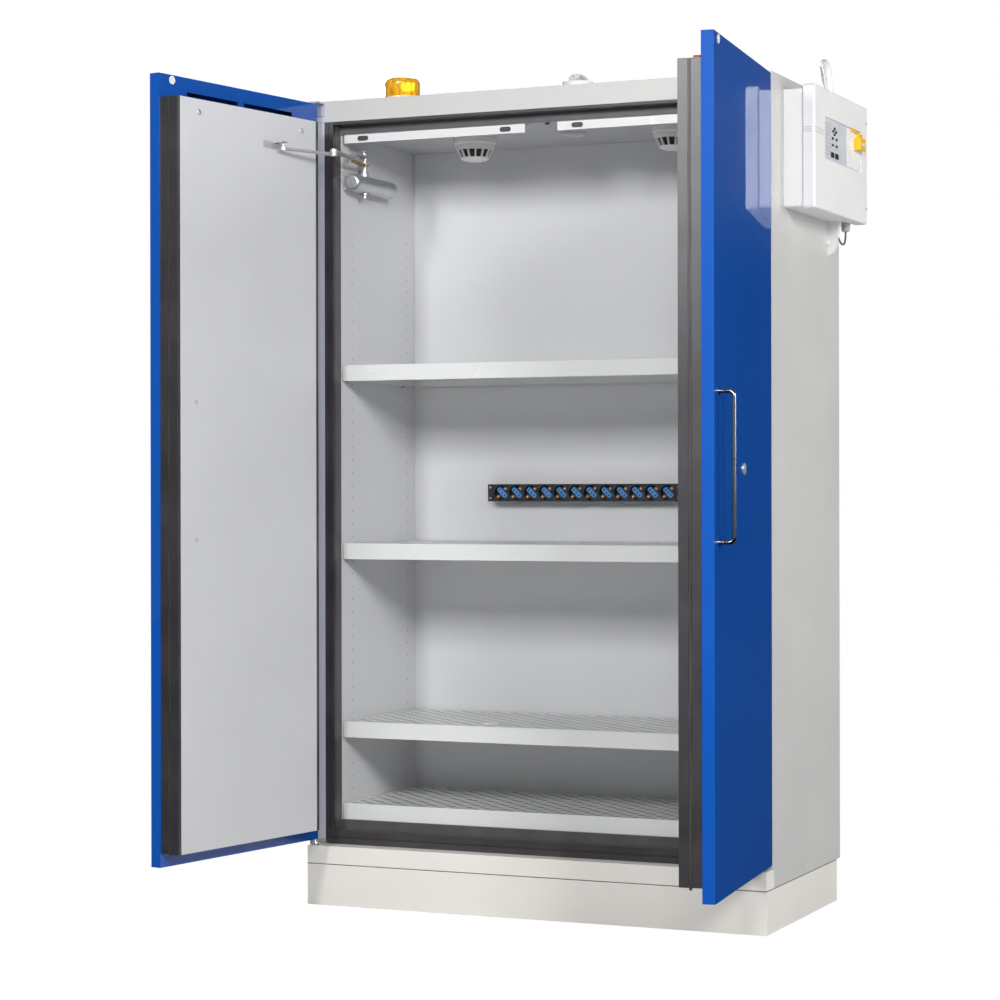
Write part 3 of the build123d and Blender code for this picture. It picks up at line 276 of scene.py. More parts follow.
def dress_nodes(materials):
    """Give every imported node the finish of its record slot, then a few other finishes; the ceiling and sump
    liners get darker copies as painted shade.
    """
    for entry in frame["record"]["subparts"]:
        mesh = nodes[entry["node"]].data
        mesh.materials.clear()
        mesh.materials.append(materials[entry["material_slot"]])
    for name, finish in (
            ("jamb_lining", "jamb film"), ("ceiling_liner", "ceiling board shade"), ("floor_liner", "sump board shade"),
            ("closer_arm_left", "arm steel"), ("closer_arm_right", "arm steel"),
            ("closer_forearm_left", "arm steel"), ("closer_forearm_right", "arm steel"),
            ("door_hardware_left", "arm steel"), ("door_hardware_right", "arm steel")):
        nodes[name].data.materials[0] = materials[finish]


def soften(name, width):
    """Small rounded edges on an imported sheet part, with its flat faces kept flat."""
    node = nodes[name]
    weld = node.modifiers.new("weld", "WELD")
    weld.merge_threshold = 0.00002
    bevel = node.modifiers.new("edges", "BEVEL")
    bevel.width = width
    bevel.segments = 2
    bevel.limit_method = "ANGLE"
    bevel.angle_limit = math.radians(40)
    flat = node.modifiers.new("flat", "WEIGHTED_NORMAL")
    flat.weight = 100
    flat.keep_sharp = True


# ---- mesh helpers ----

def add_piece(name, points, faces, finish, body, sharp=35.0):
    """Make a mesh object, smooth below the sharp angle, that rides on a body."""
    mesh = bpy.data.meshes.new(name)
    mesh.from_pydata([tuple(point) for point in points], [], faces)
    edit = bmesh.new()
    edit.from_mesh(mesh)
    bmesh.ops.remove_doubles(edit, verts=edit.verts, dist=0.000005)
    bmesh.ops.recalc_face_normals(edit, faces=edit.faces)
    for face in edit.faces:
        face.smooth = True
    for edge in edit.edges:
        edge.smooth = edge.is_manifold and edge.calc_face_angle(0.0) < math.radians(sharp)
    edit.to_mesh(mesh)
    edit.free()
    mesh.materials.append(materials[finish])
    piece = bpy.data.objects.new(name, mesh)
    bpy.context.scene.collection.objects.link(piece)
    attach(piece, body)
    return piece


def lathe(profile, steps=48, ribs=0, rib_depth=0.0):
    """Points and faces of a closed turned shape from (radius, height) pairs on and off the axis."""
    points = []
    faces = []
    count = len(profile)
    for step in range(steps):
        angle = 2 * math.pi * step / steps
        for radius, height in profile:
            if ribs and radius > 0:
                radius -= rib_depth * (0.5 - 0.5 * math.cos(ribs * angle))
            points.append(Vector((radius * math.cos(angle), radius * math.sin(angle), height)))
    for step in range(steps):
        here = step * count
        there = (step + 1) % steps * count
        for spot in range(count - 1):
            corners = [here + spot, there + spot, there + spot + 1, here + spot + 1]
            if profile[spot][0] == 0:
                corners = [here + spot, there + spot + 1, here + spot + 1]
            elif profile[spot + 1][0] == 0:
                corners = [here + spot, there + spot, here + spot + 1]
            faces.append(corners)
    return points, faces


def moved(points, matrix):
    return [matrix @ point for point in points]


def prism(outline, low, high):
    """Points and faces of a flat outline of (x, y) pairs raised from low to high."""
    count = len(outline)
    points = [Vector((x, y, low)) for x, y in outline] + [Vector((x, y, high)) for x, y in outline]
    faces = [list(range(count))[::-1], list(range(count, 2 * count))]
    for spot in range(count):
        after = (spot + 1) % count
        faces.append([spot, after, count + after, count + spot])
    return points, faces


def round_rectangle(width, height, radius, steps=4):
    """Outline of a rectangle with rounded corners about its middle."""
    outline = []
    for quarter in range(4):
        centre_x = (width / 2 - radius) * (1 if quarter in (0, 3) else -1)
        centre_y = (height / 2 - radius) * (1 if quarter in (0, 1) else -1)
        for step in range(steps + 1):
            angle = math.pi / 2 * (quarter + step / steps)
            outline.append((centre_x + radius * math.cos(angle), centre_y + radius * math.sin(angle)))
    return outline


def joined(shapes):
    """One list of points and faces from several."""
    points = []
    faces = []
    for some_points, some_faces in shapes:
        start = len(points)
        points.extend(some_points)
        faces.extend([[start + corner for corner in face] for face in some_faces])
    return points, faces


def bevelled_prism(outline, low, high, bevel):
    """Raised outline whose upper edge is cut back by a small bevel."""
    points, faces = prism(outline, low, high - bevel)
    middle = Vector((sum(x for x, _ in outline), sum(y for _, y in outline), 0)) / len(outline)
    count = len(outline)
    faces.pop(1)
    for x, y in outline:
        inward = Vector((middle.x - x, middle.y - y, 0))
        inward = inward.normalized() * min(bevel, inward.length / 2)
        points.append(Vector((x, y, high)) + inward)
    faces.append(list(range(2 * count, 3 * count)))
    for spot in range(count):
        after = (spot + 1) % count
        faces.append([count + spot, count + after, 2 * count + after, 2 * count + spot])
    return points, faces


def facing_x(place):
    """Matrix that puts a shape's own XY outline on a face that looks towards +X."""
    turn = Matrix(((0, 0, 1), (1, 0, 0), (0, 1, 0))).to_4x4()
    return Matrix.Translation(place) @ turn


def facing_front(place):
    """Matrix that puts a shape's own XY outline on a face that looks towards -Y."""
    turn = Matrix(((1, 0, 0), (0, 0, -1), (0, 1, 0))).to_4x4()
    return Matrix.Translation(place) @ turn


# ---- cords ----

def add_cord(name, route, diameter, finish):
    """Open curve through the route's points, as the CAD sweep has them."""
    data = bpy.data.curves.new(name, "CURVE")
    data.dimensions = "3D"
    data.bevel_depth = diameter / 2
    data.bevel_resolution = 6
    data.resolution_u = 16
    data.use_fill_caps = True
    spline = data.splines.new("NURBS")
    spline.points.add(len(route) - 1)
    for point, place in zip(spline.points, route):
        point.co = (*[value * MM for value in place], 1.0)
    spline.order_u = 3
    spline.use_endpoint_u = True
    data.materials.append(materials[finish])
    curve = bpy.data.objects.new(name, data)
    bpy.context.scene.collection.objects.link(curve)
    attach(curve, "cabinet")
    return curve


def add_cords():
    cable_route = [
        (633.5, 240.0, 1675.0), (633.5, 240.0, 1658.0), (631.5, 236.0, 1641.0), (625.5, 223.0, 1642.0),
        (621.5, 215.0, 1658.0)]
    cable = add_cord("unit_lead", cable_route, 5 * MM, "cable black")
    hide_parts("unit_cable")
    conduit_route = [
        (622.75, 139.0, 1980.0), (622.75, 139.0, 2020.0), (615.25, 146.6, 2059.0), (600.4, 171.7, 2087.0),
        (583.4, 214.4, 2092.0), (577.3, 251.9, 2063.0), (584.0, 268.0, 2031.0), (584.0, 268.0, 2009.0)]
    conduit = add_cord("conduit_tube", conduit_route, 20 * MM, "conduit white")
    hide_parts("conduit")


# ---- shelves ----

SLOT_PITCH = 47.0 * MM
ROW_PITCH = 22.4 * MM
SLOT_HALF = 9.5 * MM
SLOT_WIDE = 5.6 * MM
HALF_COLUMNS = 11
ROWS = 17
FIRST_ROW = 13.6 * MM


def slot_cell(x, y, top):
    """Sheet round one slot: eight outer points joined to the eight of a round-ended slot."""
    half_x, half_y = SLOT_PITCH / 2, ROW_PITCH / 2
    tip, bend, side = SLOT_HALF, SLOT_HALF - SLOT_WIDE * 0.7, SLOT_WIDE
    outer = [(-half_x, 0), (-half_x, -half_y), (0, -half_y), (half_x, -half_y),
             (half_x, 0), (half_x, half_y), (0, half_y), (-half_x, half_y)]
    inner = [(-tip, 0), (-bend, -side), (0, -side), (bend, -side),
             (tip, 0), (bend, side), (0, side), (-bend, side)]
    points = [Vector((x + u, y + v, top)) for u, v in outer + inner]
    faces = [[spot, (spot + 1) % 8, 8 + (spot + 1) % 8, 8 + spot] for spot in range(8)]
    return points, faces


def plain_cell(x_range, y_range, top):
    """One flat rectangle of sheet."""
    (west, east), (south, north) = x_range, y_range
    corners = ((west, south), (east, south), (east, north), (west, north))
    return [Vector((x, y, top)) for x, y in corners], [[0, 1, 2, 3]]


def perforated_shelf(name, low, high, top, lip, node):
    """Folded sheet shelf: staggered slots in the top and a lip down all round."""
    shapes = []
    field_x = SLOT_PITCH * (HALF_COLUMNS + 0.5)
    first = low.y + FIRST_ROW
    stations = [low.y, first - ROW_PITCH / 2]
    for row in range(ROWS):
        y = first + row * ROW_PITCH
        if row % 2 == 0:
            for column in range(-HALF_COLUMNS, HALF_COLUMNS + 1):
                shapes.append(slot_cell(column * SLOT_PITCH, y, top))
        else:
            for column in range(-HALF_COLUMNS, HALF_COLUMNS):
                shapes.append(slot_cell((column + 0.5) * SLOT_PITCH, y, top))
            for side in (-1, 1):
                inside, outside = side * (field_x - SLOT_PITCH / 2), side * field_x
                span = (min(inside, outside), max(inside, outside))
                for part in (-1, 1):
                    edge = (y, y + part * ROW_PITCH / 2)
                    shapes.append(plain_cell(span, (min(edge), max(edge)), top))
        stations += [y, y + ROW_PITCH / 2]
    stations.append(high.y)
    columns = [low.x] + [
        -field_x + step * SLOT_PITCH / 2 for step in range(4 * HALF_COLUMNS + 3)] + [high.x]
    for start, end in zip(stations, stations[1:]):
        shapes.append(plain_cell((low.x, columns[1]), (start, end), top))
        shapes.append(plain_cell((columns[-2], high.x), (start, end), top))
    for start, end in zip(columns[1:-1], columns[2:-1]):
        shapes.append(plain_cell((start, end), (stations[0], stations[1]), top))
        shapes.append(plain_cell((start, end), (stations[-2], stations[-1]), top))
    foot = top - lip
    for start, end in zip(stations, stations[1:]):
        for x in (low.x, high.x):
            points = [Vector(p) for p in ((x, start, foot), (x, end, foot), (x, end, top), (x, start, top))]
            shapes.append((points, [[0, 1, 2, 3]]))
    for start, end in zip(columns, columns[1:]):
        for y in (low.y, high.y):
            points = [Vector(p) for p in ((start, y, foot), (end, y, foot), (end, y, top), (start, y, top))]
            shapes.append((points, [[0, 1, 2, 3]]))
    points, faces = joined(shapes)
    piece = add_piece(name, points, faces, "shelf paint", "cabinet")
    bevel = piece.modifiers.new("fold", "BEVEL")
    bevel.width = 1.5 * MM
    bevel.segments = 2
    bevel.limit_method = "ANGLE"
    bevel.angle_limit = math.radians(50)
    sheet = piece.modifiers.new("sheet", "SOLIDIFY")
    sheet.thickness = 0.8 * MM
    sheet.offset = -1.0
    sheet.use_even_offset = True
    # The sheet's rims, round every slot, take the dark finish as painted shade.
    piece.data.materials.append(materials["slot edge shade"])
    sheet.material_offset_rim = 1
    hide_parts(node)
    return piece


def add_shelves():
    """Three shelves and the floor tray, each where its solid is."""
    lip = 40 * MM
    low_top = shelf_low.z + lip
    step = (shelf_high.z - low_top) / 2
    for number in range(3):
        top = low_top + number * step
        perforated_shelf("shelf_%d" % (number + 1), shelf_low, shelf_high, top, lip, "shelves")
    perforated_shelf("tray", tray_low, tray_high, tray_high.z, lip, "floor_tray")


# ---- rows of height-adjustment holes ----

def add_hole_columns():
    """Small sunk holes in two columns on each side wall, coloured dark as painted shade inside them."""
    profile = [(0.0, 0.05 * MM), (1.5 * MM, 0.05 * MM), (2.0 * MM, 0.2 * MM), (2.3 * MM, 0.0)]
    hole_points, hole_faces = lathe(profile, 10)
    for side in (-1, 1):
        shapes = []
        for y in HOLE_COLUMNS_Y:
            for number in range(HOLES):
                z = LOWEST_HOLE_Z + number * HOLE_PITCH
                place = Matrix.Translation((side * liner_x, y, z)) @ Matrix.Rotation(
                    math.radians(-90 * side), 4, "Y")
                shapes.append((moved(hole_points, place), hole_faces))
        points, faces = joined(shapes)
        add_piece("pin_holes_" + ("left" if side < 0 else "right"), points, faces, "pin hole", "cabinet")


# ---- smoke detectors ----

def ring_of_ribs(radius_top, radius_low, z_top, z_low, count, width, thick):
    """Slanting ribs between two rings, like staves."""
    shapes = []
    for number in range(count):
        turn = Matrix.Rotation(2 * math.pi * (number + 0.5) / count, 4, "Z")
        half = width / 2
        points = [
            Vector((radius_top, -half, z_top)), Vector((radius_top, half, z_top)),
            Vector((radius_low, half, z_low)), Vector((radius_low, -half, z_low))]
        back = [point - Vector((thick, 0, 0)) for point in points]
        faces = [[0, 1, 2, 3], [7, 6, 5, 4], [0, 4, 5, 1], [1, 5, 6, 2], [2, 6, 7, 3], [3, 7, 4, 0]]
        shapes.append((moved(points + back, turn), faces))
    return joined(shapes)


def add_detectors():
    """Two sensing heads: rim, ribbed smoke entry round a chamber coloured dark as painted shade, and a smooth
    nose.
    """
    top = heads_high.z
    reach = (heads_high - heads_low).z
    radius = (heads_high.y - heads_low.y) / 2
    for side, word in ((-1, "left"), (1, "right")):
        x = side * (heads_high.x - radius)
        place = Matrix.Translation((x, (heads_low.y + heads_high.y) / 2, top))
        rim = [(0, 0), (radius, 0), (radius, -9 * MM), (radius - 2 * MM, -13 * MM), (0, -13 * MM)]
        cap = [
            (0, -reach + 9 * MM), (radius - 13 * MM, -reach + 9 * MM), (radius - 15 * MM, -reach + 5 * MM),
            (radius - 20 * MM, -reach + 2 * MM), (radius - 29 * MM, -reach), (0, -reach)]
        ribs = ring_of_ribs(
            radius - 2 * MM, radius - 13 * MM, -12.5 * MM, -reach + 8 * MM, 14, 4.5 * MM, 5 * MM)
        shell = joined([lathe(rim, 40), lathe(cap, 40), ribs])
        head = add_piece("detector_" + word, moved(shell[0], place), shell[1], "white plastic", "cabinet")
        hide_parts("detector_heads")
        # The chamber behind the ribs is a dark solid: painted shade inside the head.
        inner = [(0, -13 * MM), (radius - 9 * MM, -13 * MM), (radius - 18 * MM, -reach + 9 * MM),
                 (0, -reach + 9 * MM)]
        points, faces = lathe(inner, 32)
        add_piece("detector_chamber_" + word, moved(points, place), faces, "dark part and recess shade", "cabinet")
        lamp = lathe([(0, 0), (1.6 * MM, 0), (1.2 * MM, -1.2 * MM), (0, -1.6 * MM)], 12)
        spot = place @ Matrix.Translation((radius - 24 * MM, -12 * MM, -reach + 1.0 * MM))
        add_piece("detector_lamp_" + word, moved(lamp[0], spot), lamp[1], "red rubber", "cabinet")


def add_valve_rings():
    """Raised rings and a hub on the round ceiling valve."""
    centre = (valve_low + valve_high) / 2
    place = Matrix.Translation((centre.x, centre.y, valve_low.z))
    profile = [(0, 0), (9 * MM, 0), (9 * MM, -1.5 * MM), (0, -2.2 * MM)]
    shapes = [lathe(profile, 32)]
    for radius in (15 * MM, 20 * MM, 25 * MM):
        shapes.append(lathe([
            (radius, 0.2 * MM), (radius + 2 * MM, 0.2 * MM), (radius + 2 * MM, -1 * MM),
            (radius, -1 * MM), (radius, 0.2 * MM)], 40))
    points, faces = joined(shapes)
    add_piece("valve_rings", moved(points, place), faces, "white plastic", "cabinet")


# ---- socket strip ----

socket_pitch = (insert_high.x - insert_low.x + SOCKET_GAP) / SOCKETS


def socket_centres():
    first = insert_low.x - SOCKET_GAP / 2 + socket_pitch / 2
    return [first + number * socket_pitch for number in range(SOCKETS)]


def socket_shape(half_x, half_y, radius):
    """Square insert with a round well and a small rounded rim, front face at zero height."""
    steps = 40
    rings = []
    for reach, height in ((radius + 1 * MM, 0), (radius, -1 * MM), (radius, -17.4 * MM)):
        ring = []
        for step in range(steps):
            angle = 2 * math.pi * step / steps
            ring.append(Vector((reach * math.cos(angle), reach * math.sin(angle), height)))
        rings.append(ring)
    square = []
    for step in range(steps):
        angle = 2 * math.pi * step / steps
        x, y = math.cos(angle), math.sin(angle)
        scale = min(half_x / max(abs(x), 0.000001), half_y / max(abs(y), 0.000001))
        square.append(Vector((x * scale, y * scale, 0)))
    back = [Vector((point.x, point.y, -19 * MM)) for point in square]
    layers = [back, square] + rings
    points = [point for layer in layers for point in layer]
    faces = [list(range(steps))[::-1], list(range(4 * steps, 5 * steps))]
    for layer in range(4):
        for step in range(steps):
            after = (step + 1) % steps
            here, there = layer * steps, (layer + 1) * steps
            faces.append([here + step, here + after, there + after, there + step])
    return points, faces


def add_sockets():
    """Inserts with blue contact carriers and copper earth clips in their wells, and the strip's screws."""
    face_y = strip_low.y
    floor_y = face_y + 17.5 * MM
    middle = (strip_low.z + strip_high.z) / 2
    bar = bevelled_prism(round_rectangle(33 * MM, 12 * MM, 3 * MM), 0, 12 * MM, 1.5 * MM)
    half_x = (socket_pitch - 2 * SOCKET_GAP) / 2
    insert = socket_shape(half_x, (insert_high.z - insert_low.z) / 2, 19 * MM)
    holes = []
    for offset in (-9.5 * MM, 0.0, 9.5 * MM):
        ring = lathe([(0, 0.1 * MM), (2.0 * MM, 0.1 * MM), (2.4 * MM, 0.3 * MM), (2.7 * MM, 0.0)], 14)
        holes.append((moved(ring[0], Matrix.Translation((offset, 0, 12 * MM))), ring[1]))
    hole_shape = joined(holes)
    clip = bevelled_prism(round_rectangle(7 * MM, 6 * MM, 1 * MM, 2), 0, 15 * MM, 1 * MM)
    lean = Matrix.Rotation(math.radians(-45), 4, "Z")
    for number, x in enumerate(socket_centres()):
        place = facing_front(Vector((x, floor_y, middle)))
        word = "%02d" % (number + 1)
        front = facing_front(Vector((x, face_y, middle)))
        body = add_piece(
            "socket_insert_" + word, moved(insert[0], front), insert[1], "socket black", "cabinet", 30.0)
        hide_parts("socket_inserts")
        add_piece("contact_bar_" + word, moved(bar[0], place @ lean), bar[1], "socket blue", "cabinet")
        # Dark rings in the contact bars: painted shade in the contact holes.
        add_piece(
            "contact_holes_" + word, moved(hole_shape[0], place @ lean), hole_shape[1], "dark part and recess shade",
            "cabinet")
        clips = []
        for way in (-1, 1):
            spot = place @ lean @ Matrix.Translation((0, way * 15 * MM, 0))
            clips.append((moved(clip[0], spot), clip[1]))
        points, faces = joined(clips)
        add_piece("earth_clips_" + word, points, faces, "copper", "cabinet")
    screws = []
    head = lathe([(0, 0), (2.6 * MM, 0), (2.2 * MM, 0.9 * MM), (0, 1.2 * MM)], 16)
    for x in (strip_low.x + 8 * MM, strip_high.x - 8 * MM):
        for z in (middle - 14 * MM, middle + 14 * MM):
            screws.append((moved(head[0], facing_front(Vector((x, face_y, z)))), head[1]))
    points, faces = joined(screws)
    add_piece("strip_screws", points, faces, "steel", "cabinet")


# ---- control unit ----

def add_unit_details():
    """Grooves, keys, bare fields, seal strap and screws on the control unit's lid."""
    face_x = cover_high.x
    floor_x = display_high.x
    front_y = cover_low.y
    window_mid = (display_low.z + display_high.z) / 2
    grooves = []
    for number in range(3):
        z = window_mid + 15 * MM - number * 5 * MM
        outline = round_rectangle(display_low.y - front_y - 12 * MM, 1.0 * MM, 0.4 * MM, 2)
        place = facing_x(Vector((face_x, (display_low.y + front_y) / 2 - 3 * MM, z)))
        shape = prism(outline, -0.3 * MM, 0.12 * MM)
        grooves.append((moved(shape[0], place), shape[1]))
        rear = round_rectangle(30 * MM, 1.2 * MM, 0.5 * MM, 2)
        shape = prism(rear, -0.3 * MM, 0.12 * MM)
        place = facing_x(Vector((face_x, cover_high.y - 24 * MM, z)))
        grooves.append((moved(shape[0], place), shape[1]))
        side = round_rectangle(21 * MM, 1.2 * MM, 0.5 * MM, 2)
        shape = prism(side, -0.3 * MM, 0.12 * MM)
        place = facing_front(Vector((cover_low.x + 11 * MM, front_y, z)))
        grooves.append((moved(shape[0], place), shape[1]))
    # The lid grooves are grey strips barely proud of the lid: painted shade in the grooves.
    points, faces = joined(grooves)
    add_piece("lid_grooves", points, faces, "groove shade and seam line", "cabinet")

    key_y = display_low.y + 90 * MM
    top = display_high.z
    small = bevelled_prism(round_rectangle(13 * MM, 6 * MM, 2.5 * MM), 0, 1.6 * MM, 0.5 * MM)
    spots = [(0, -19), (-12, -26), (12, -26), (0, -33), (-16, -44), (16, -44), (-16, -60), (16, -60)]
    keys = []
    for right, up in spots:
        place = facing_x(Vector((floor_x, key_y + right * MM, top + up * MM)))
        keys.append((moved(small[0], place), small[1]))
    large = bevelled_prism(round_rectangle(25 * MM, 13 * MM, 3 * MM), 0, 1.8 * MM, 0.6 * MM)
    for right in (-18, 18):
        place = facing_x(Vector((floor_x, key_y + right * MM, top - 84 * MM)))
        keys.append((moved(large[0], place), large[1]))
    points, faces = joined(keys)
    add_piece("unit_keys", points, faces, "socket black", "cabinet")

    display = display_high - display_low
    start, end, foot, head = 0.62, 0.97, 0.04, 0.96
    outline = round_rectangle((end - start) * display.y, (head - foot) * display.z, 1 * MM, 2)
    shape = prism(outline, -0.2 * MM, 0.3 * MM)
    middle_y = display_low.y + (start + end) / 2 * display.y
    middle_z = display_low.z + (foot + head) / 2 * display.z
    place = facing_x(Vector((floor_x, middle_y, middle_z)))
    add_piece("unit_fields", moved(shape[0], place), shape[1], "pale print", "cabinet")

    rows = []
    for number in range(9):
        place = facing_x(Vector((floor_x, display_low.y + 34 * MM, top - 14 * MM - number * 9 * MM)))
        shape = prism(round_rectangle(50 * MM, 1.2 * MM, 0.5 * MM, 2), -0.2 * MM, 0.3 * MM)
        rows.append((moved(shape[0], place), shape[1]))
    points, faces = joined(rows)
    add_piece("unit_rows", points, faces, "grey plastic", "cabinet")

    tall = cover_high.z - cover_low.z - 12 * MM
    shape = prism(round_rectangle(1.4 * MM, tall, 0.4 * MM, 2), -0.3 * MM, 0.15 * MM)
    place = facing_front(Vector((cover_low.x, front_y, (cover_low.z + cover_high.z) / 2)))
    add_piece("unit_seam", moved(shape[0], place), shape[1], "groove shade and seam line", "cabinet")

    clip_low, clip_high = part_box("seal_clip")
    shape = bevelled_prism(round_rectangle(22 * MM, 10 * MM, 1 * MM), 0, 0.8 * MM, 0.3 * MM)
    place = facing_x(Vector((clip_high.x - 0.2 * MM, (clip_low.y + clip_high.y) / 2 + 2 * MM,
                             clip_low.z + 14 * MM)))
    add_piece("clip_label", moved(shape[0], place), shape[1], "display film", "cabinet")
    tape = bevelled_prism(round_rectangle(70 * MM, 7 * MM, 1 * MM), 0, 2.5 * MM, 0.6 * MM)
    place = facing_x(Vector((floor_x, clip_low.y + 5 * MM, display_high.z - 5 * MM)))
    add_piece("clip_strap", moved(tape[0], place), tape[1], "yellow plastic", "cabinet")

    # The lid screws are near-black: painted shade of the sunk screws.
    screws = []
    head = lathe([(0, 0), (3.4 * MM, 0), (3.0 * MM, 0.5 * MM), (0, 0.6 * MM)], 18)
    for z in (cover_low.z + 40 * MM, cover_high.z - 40 * MM):
        place = facing_x(Vector((face_x - 0.3 * MM, cover_high.y - 9 * MM, z)))
        screws.append((moved(head[0], place), head[1]))
    points, faces = joined(screws)
    add_piece("lid_screws", points, faces, "dark part and recess shade", "cabinet")


# ---- roof lamps ----

def add_lamp_feet():
    """Turned white feet of the two roof lamps."""
    base_low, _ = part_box("lamp_bases")
    for label, low, high, radius, tall in (
            ("beacon", beacon_low, beacon_high, 47 * MM, 22 * MM),
            ("signal", dome_low, dome_high, 42 * MM, 30 * MM)):
        centre = (low + high) / 2
        place = Matrix.Translation((centre.x, centre.y, base_low.z))
        profile = [
            (0, 0), (radius, 0), (radius, tall - 8 * MM), (radius - 1 * MM, tall - 7 * MM),
            (radius - 2 * MM, tall - 1 * MM), (radius - 3 * MM, tall), (0, tall)]
        points, faces = lathe(profile, 64)
        piece = add_piece("lamp_foot_" + label, moved(points, place), faces, "white plastic", "cabinet")
        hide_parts("lamp_bases")


def add_beacon():
    """Ribbed amber lens, rounded at its shoulder."""
    radius = 46.3 * MM
    tall = 48 * MM
    centre = (beacon_low + beacon_high) / 2
    place = Matrix.Translation((centre.x, centre.y, beacon_low.z - 13 * MM))
    shoulder = 14 * MM
    wall = radius - 1 * MM
    profile = [(0, 0), (radius, 0), (radius, 3 * MM), (wall, 4 * MM), (wall, tall - shoulder)]
    for step in range(1, 7):
        angle = math.pi / 2 * step / 7
        profile.append((
            wall - shoulder * (1 - math.cos(angle)), tall - shoulder + shoulder * math.sin(angle)))
    profile += [(wall - shoulder, tall), (0, tall)]
    lens = lathe(profile, 180, 30, 0.25 * MM)
    piece = add_piece("beacon_lens_ribbed", moved(lens[0], place), lens[1], "amber lens", "cabinet", 50.0)
    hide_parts("beacon_lens")


def add_signal():
    """Thin clear dome over two reflector wings, one white and one grey as painted shade, and a small lamp."""
    centre = (dome_low + dome_high) / 2
    place = Matrix.Translation((centre.x, centre.y, dome_low.z - 5 * MM))
    radius, rise, wall = 31.5 * MM, 21 * MM, 1.2 * MM
    ball = (radius * radius + rise * rise) / (2 * rise)
    half = math.asin(radius / ball)
    outer = []
    inner = []
    for step in range(9):
        angle = half * (1 - step / 8)
        outer.append((ball * math.sin(angle), ball * math.cos(angle) - ball + rise))
        inner.append(((ball - wall) * math.sin(angle), max(0, (ball - wall) * math.cos(angle) - ball + rise)))
    points, faces = lathe([(inner[0][0], 0)] + outer + inner[::-1], 56)
    dome = add_piece("signal_cap", moved(points, place), faces, "clear dome", "cabinet")
    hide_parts("signal_dome")
    wing = [(5 * MM, 1 * MM), (26 * MM, 1 * MM), (18 * MM, 14 * MM), (10 * MM, 17 * MM)]
    # The two wings are one reflector; the right wing is grey as painted shade on that half.
    for side, word, finish in ((-1, "left", "white plastic"), (1, "right", "grey plastic")):
        outline = [(side * x, z) for x, z in wing]
        points, faces = prism(outline, -9 * MM, 9 * MM)
        stand = place @ Matrix.Rotation(math.radians(90), 4, "X")
        add_piece("signal_wing_" + word, moved(points, stand), faces, finish, "cabinet")
    bulb = lathe([(0, 1 * MM), (2 * MM, 1 * MM), (2 * MM, 10 * MM), (1 * MM, 13 * MM), (0, 13 * MM)], 16)
    add_piece("signal_lamp", moved(bulb[0], place), bulb[1], "link brass", "cabinet")


# ---- closers and doors ----

def door_frame(side):
    """Matrix from a door's own closed frame to its open place."""
    angle = math.radians(LEFT_OPEN if side < 0 else RIGHT_OPEN)
    pivot = Vector((side * HINGE_X, HINGE_Y, 0))
    return Matrix.Translation(pivot) @ Matrix.Rotation(angle, 4, "Z") @ Matrix.Translation(-pivot)


def add_door_details():
    """Slotted screw covers on the inner panels and the sealing strips in the edgings."""
    for side, word in ((-1, "left"), (1, "right")):
        body = word + " door"
        frame_of_door = door_frame(side)
        covers = []
        slots = []
        cover = lathe([(0, 0), (7.4 * MM, 0), (7.0 * MM, 1.4 * MM), (5.0 * MM, 2.2 * MM), (0, 2.4 * MM)], 28)
        slot = prism(round_rectangle(8.5 * MM, 1.4 * MM, 0.5 * MM, 2), 2.2 * MM, 2.55 * MM)
        for x in COVER_PLACES_X:
            spot = Vector((side * x, PANEL_FACE_Y, COVER_Z))
            place = frame_of_door @ Matrix.Translation(spot) @ INWARD
            covers.append((moved(cover[0], place), cover[1]))
            turned = place @ Matrix.Rotation(math.radians(25), 4, "Z")
            slots.append((moved(slot[0], turned), slot[1]))
        points, faces = joined(covers)
        add_piece("screw_covers_" + word, points, faces, "steel", body)
        # The slots in the screw covers are dark: painted shade in the slots.
        points, faces = joined(slots)
        add_piece("screw_slots_" + word, points, faces, "dark part and recess shade", body)
        add_sealing_strip(side, word, body, frame_of_door)


def add_sealing_strip(side, word, body, frame_of_door):
    """Thin sealing strip that lies in the groove of each upright edging and stands a little out of it."""
    width, deep, out = 6 * MM, 2.6 * MM, 0.35 * MM
    y_mid = PAN_BACK_Y + 22.4 * MM + 3.5 * MM
    heights = [CORE_FOOT_Z + step * (CORE_TOP_Z - CORE_FOOT_Z) / 24 for step in range(25)]
    for x, way, label in ((FREE_EDGE_X, -1, "free"), (HINGE_EDGE_X, 1, "hinge")):
        points = []
        faces = []
        base = side * (x - way * deep)
        face = side * (x + way * out)
        for number, z in enumerate(heights):
            sway = 0.35 * MM * math.sin(number * 1.7) + 0.25 * MM * math.sin(number * 4.1)
            for u, v in ((base, -width / 2), (face, -width / 2), (face + way * side * 0.3 * MM, 0),
                         (face, width / 2), (base, width / 2)):
                points.append(Vector((u, y_mid + v + sway, z)))
        count = 5
        for number in range(len(heights) - 1):
            here, there = number * count, (number + 1) * count
            for spot in range(count):
                after = (spot + 1) % count
                faces.append([here + spot, here + after, there + after, there + spot])
        faces.append(list(range(count))[::-1])
        faces.append([(len(heights) - 1) * count + spot for spot in range(count)])
        add_piece("seal_strip_%s_%s" % (word, label), moved(points, frame_of_door), faces, "seal black", body)


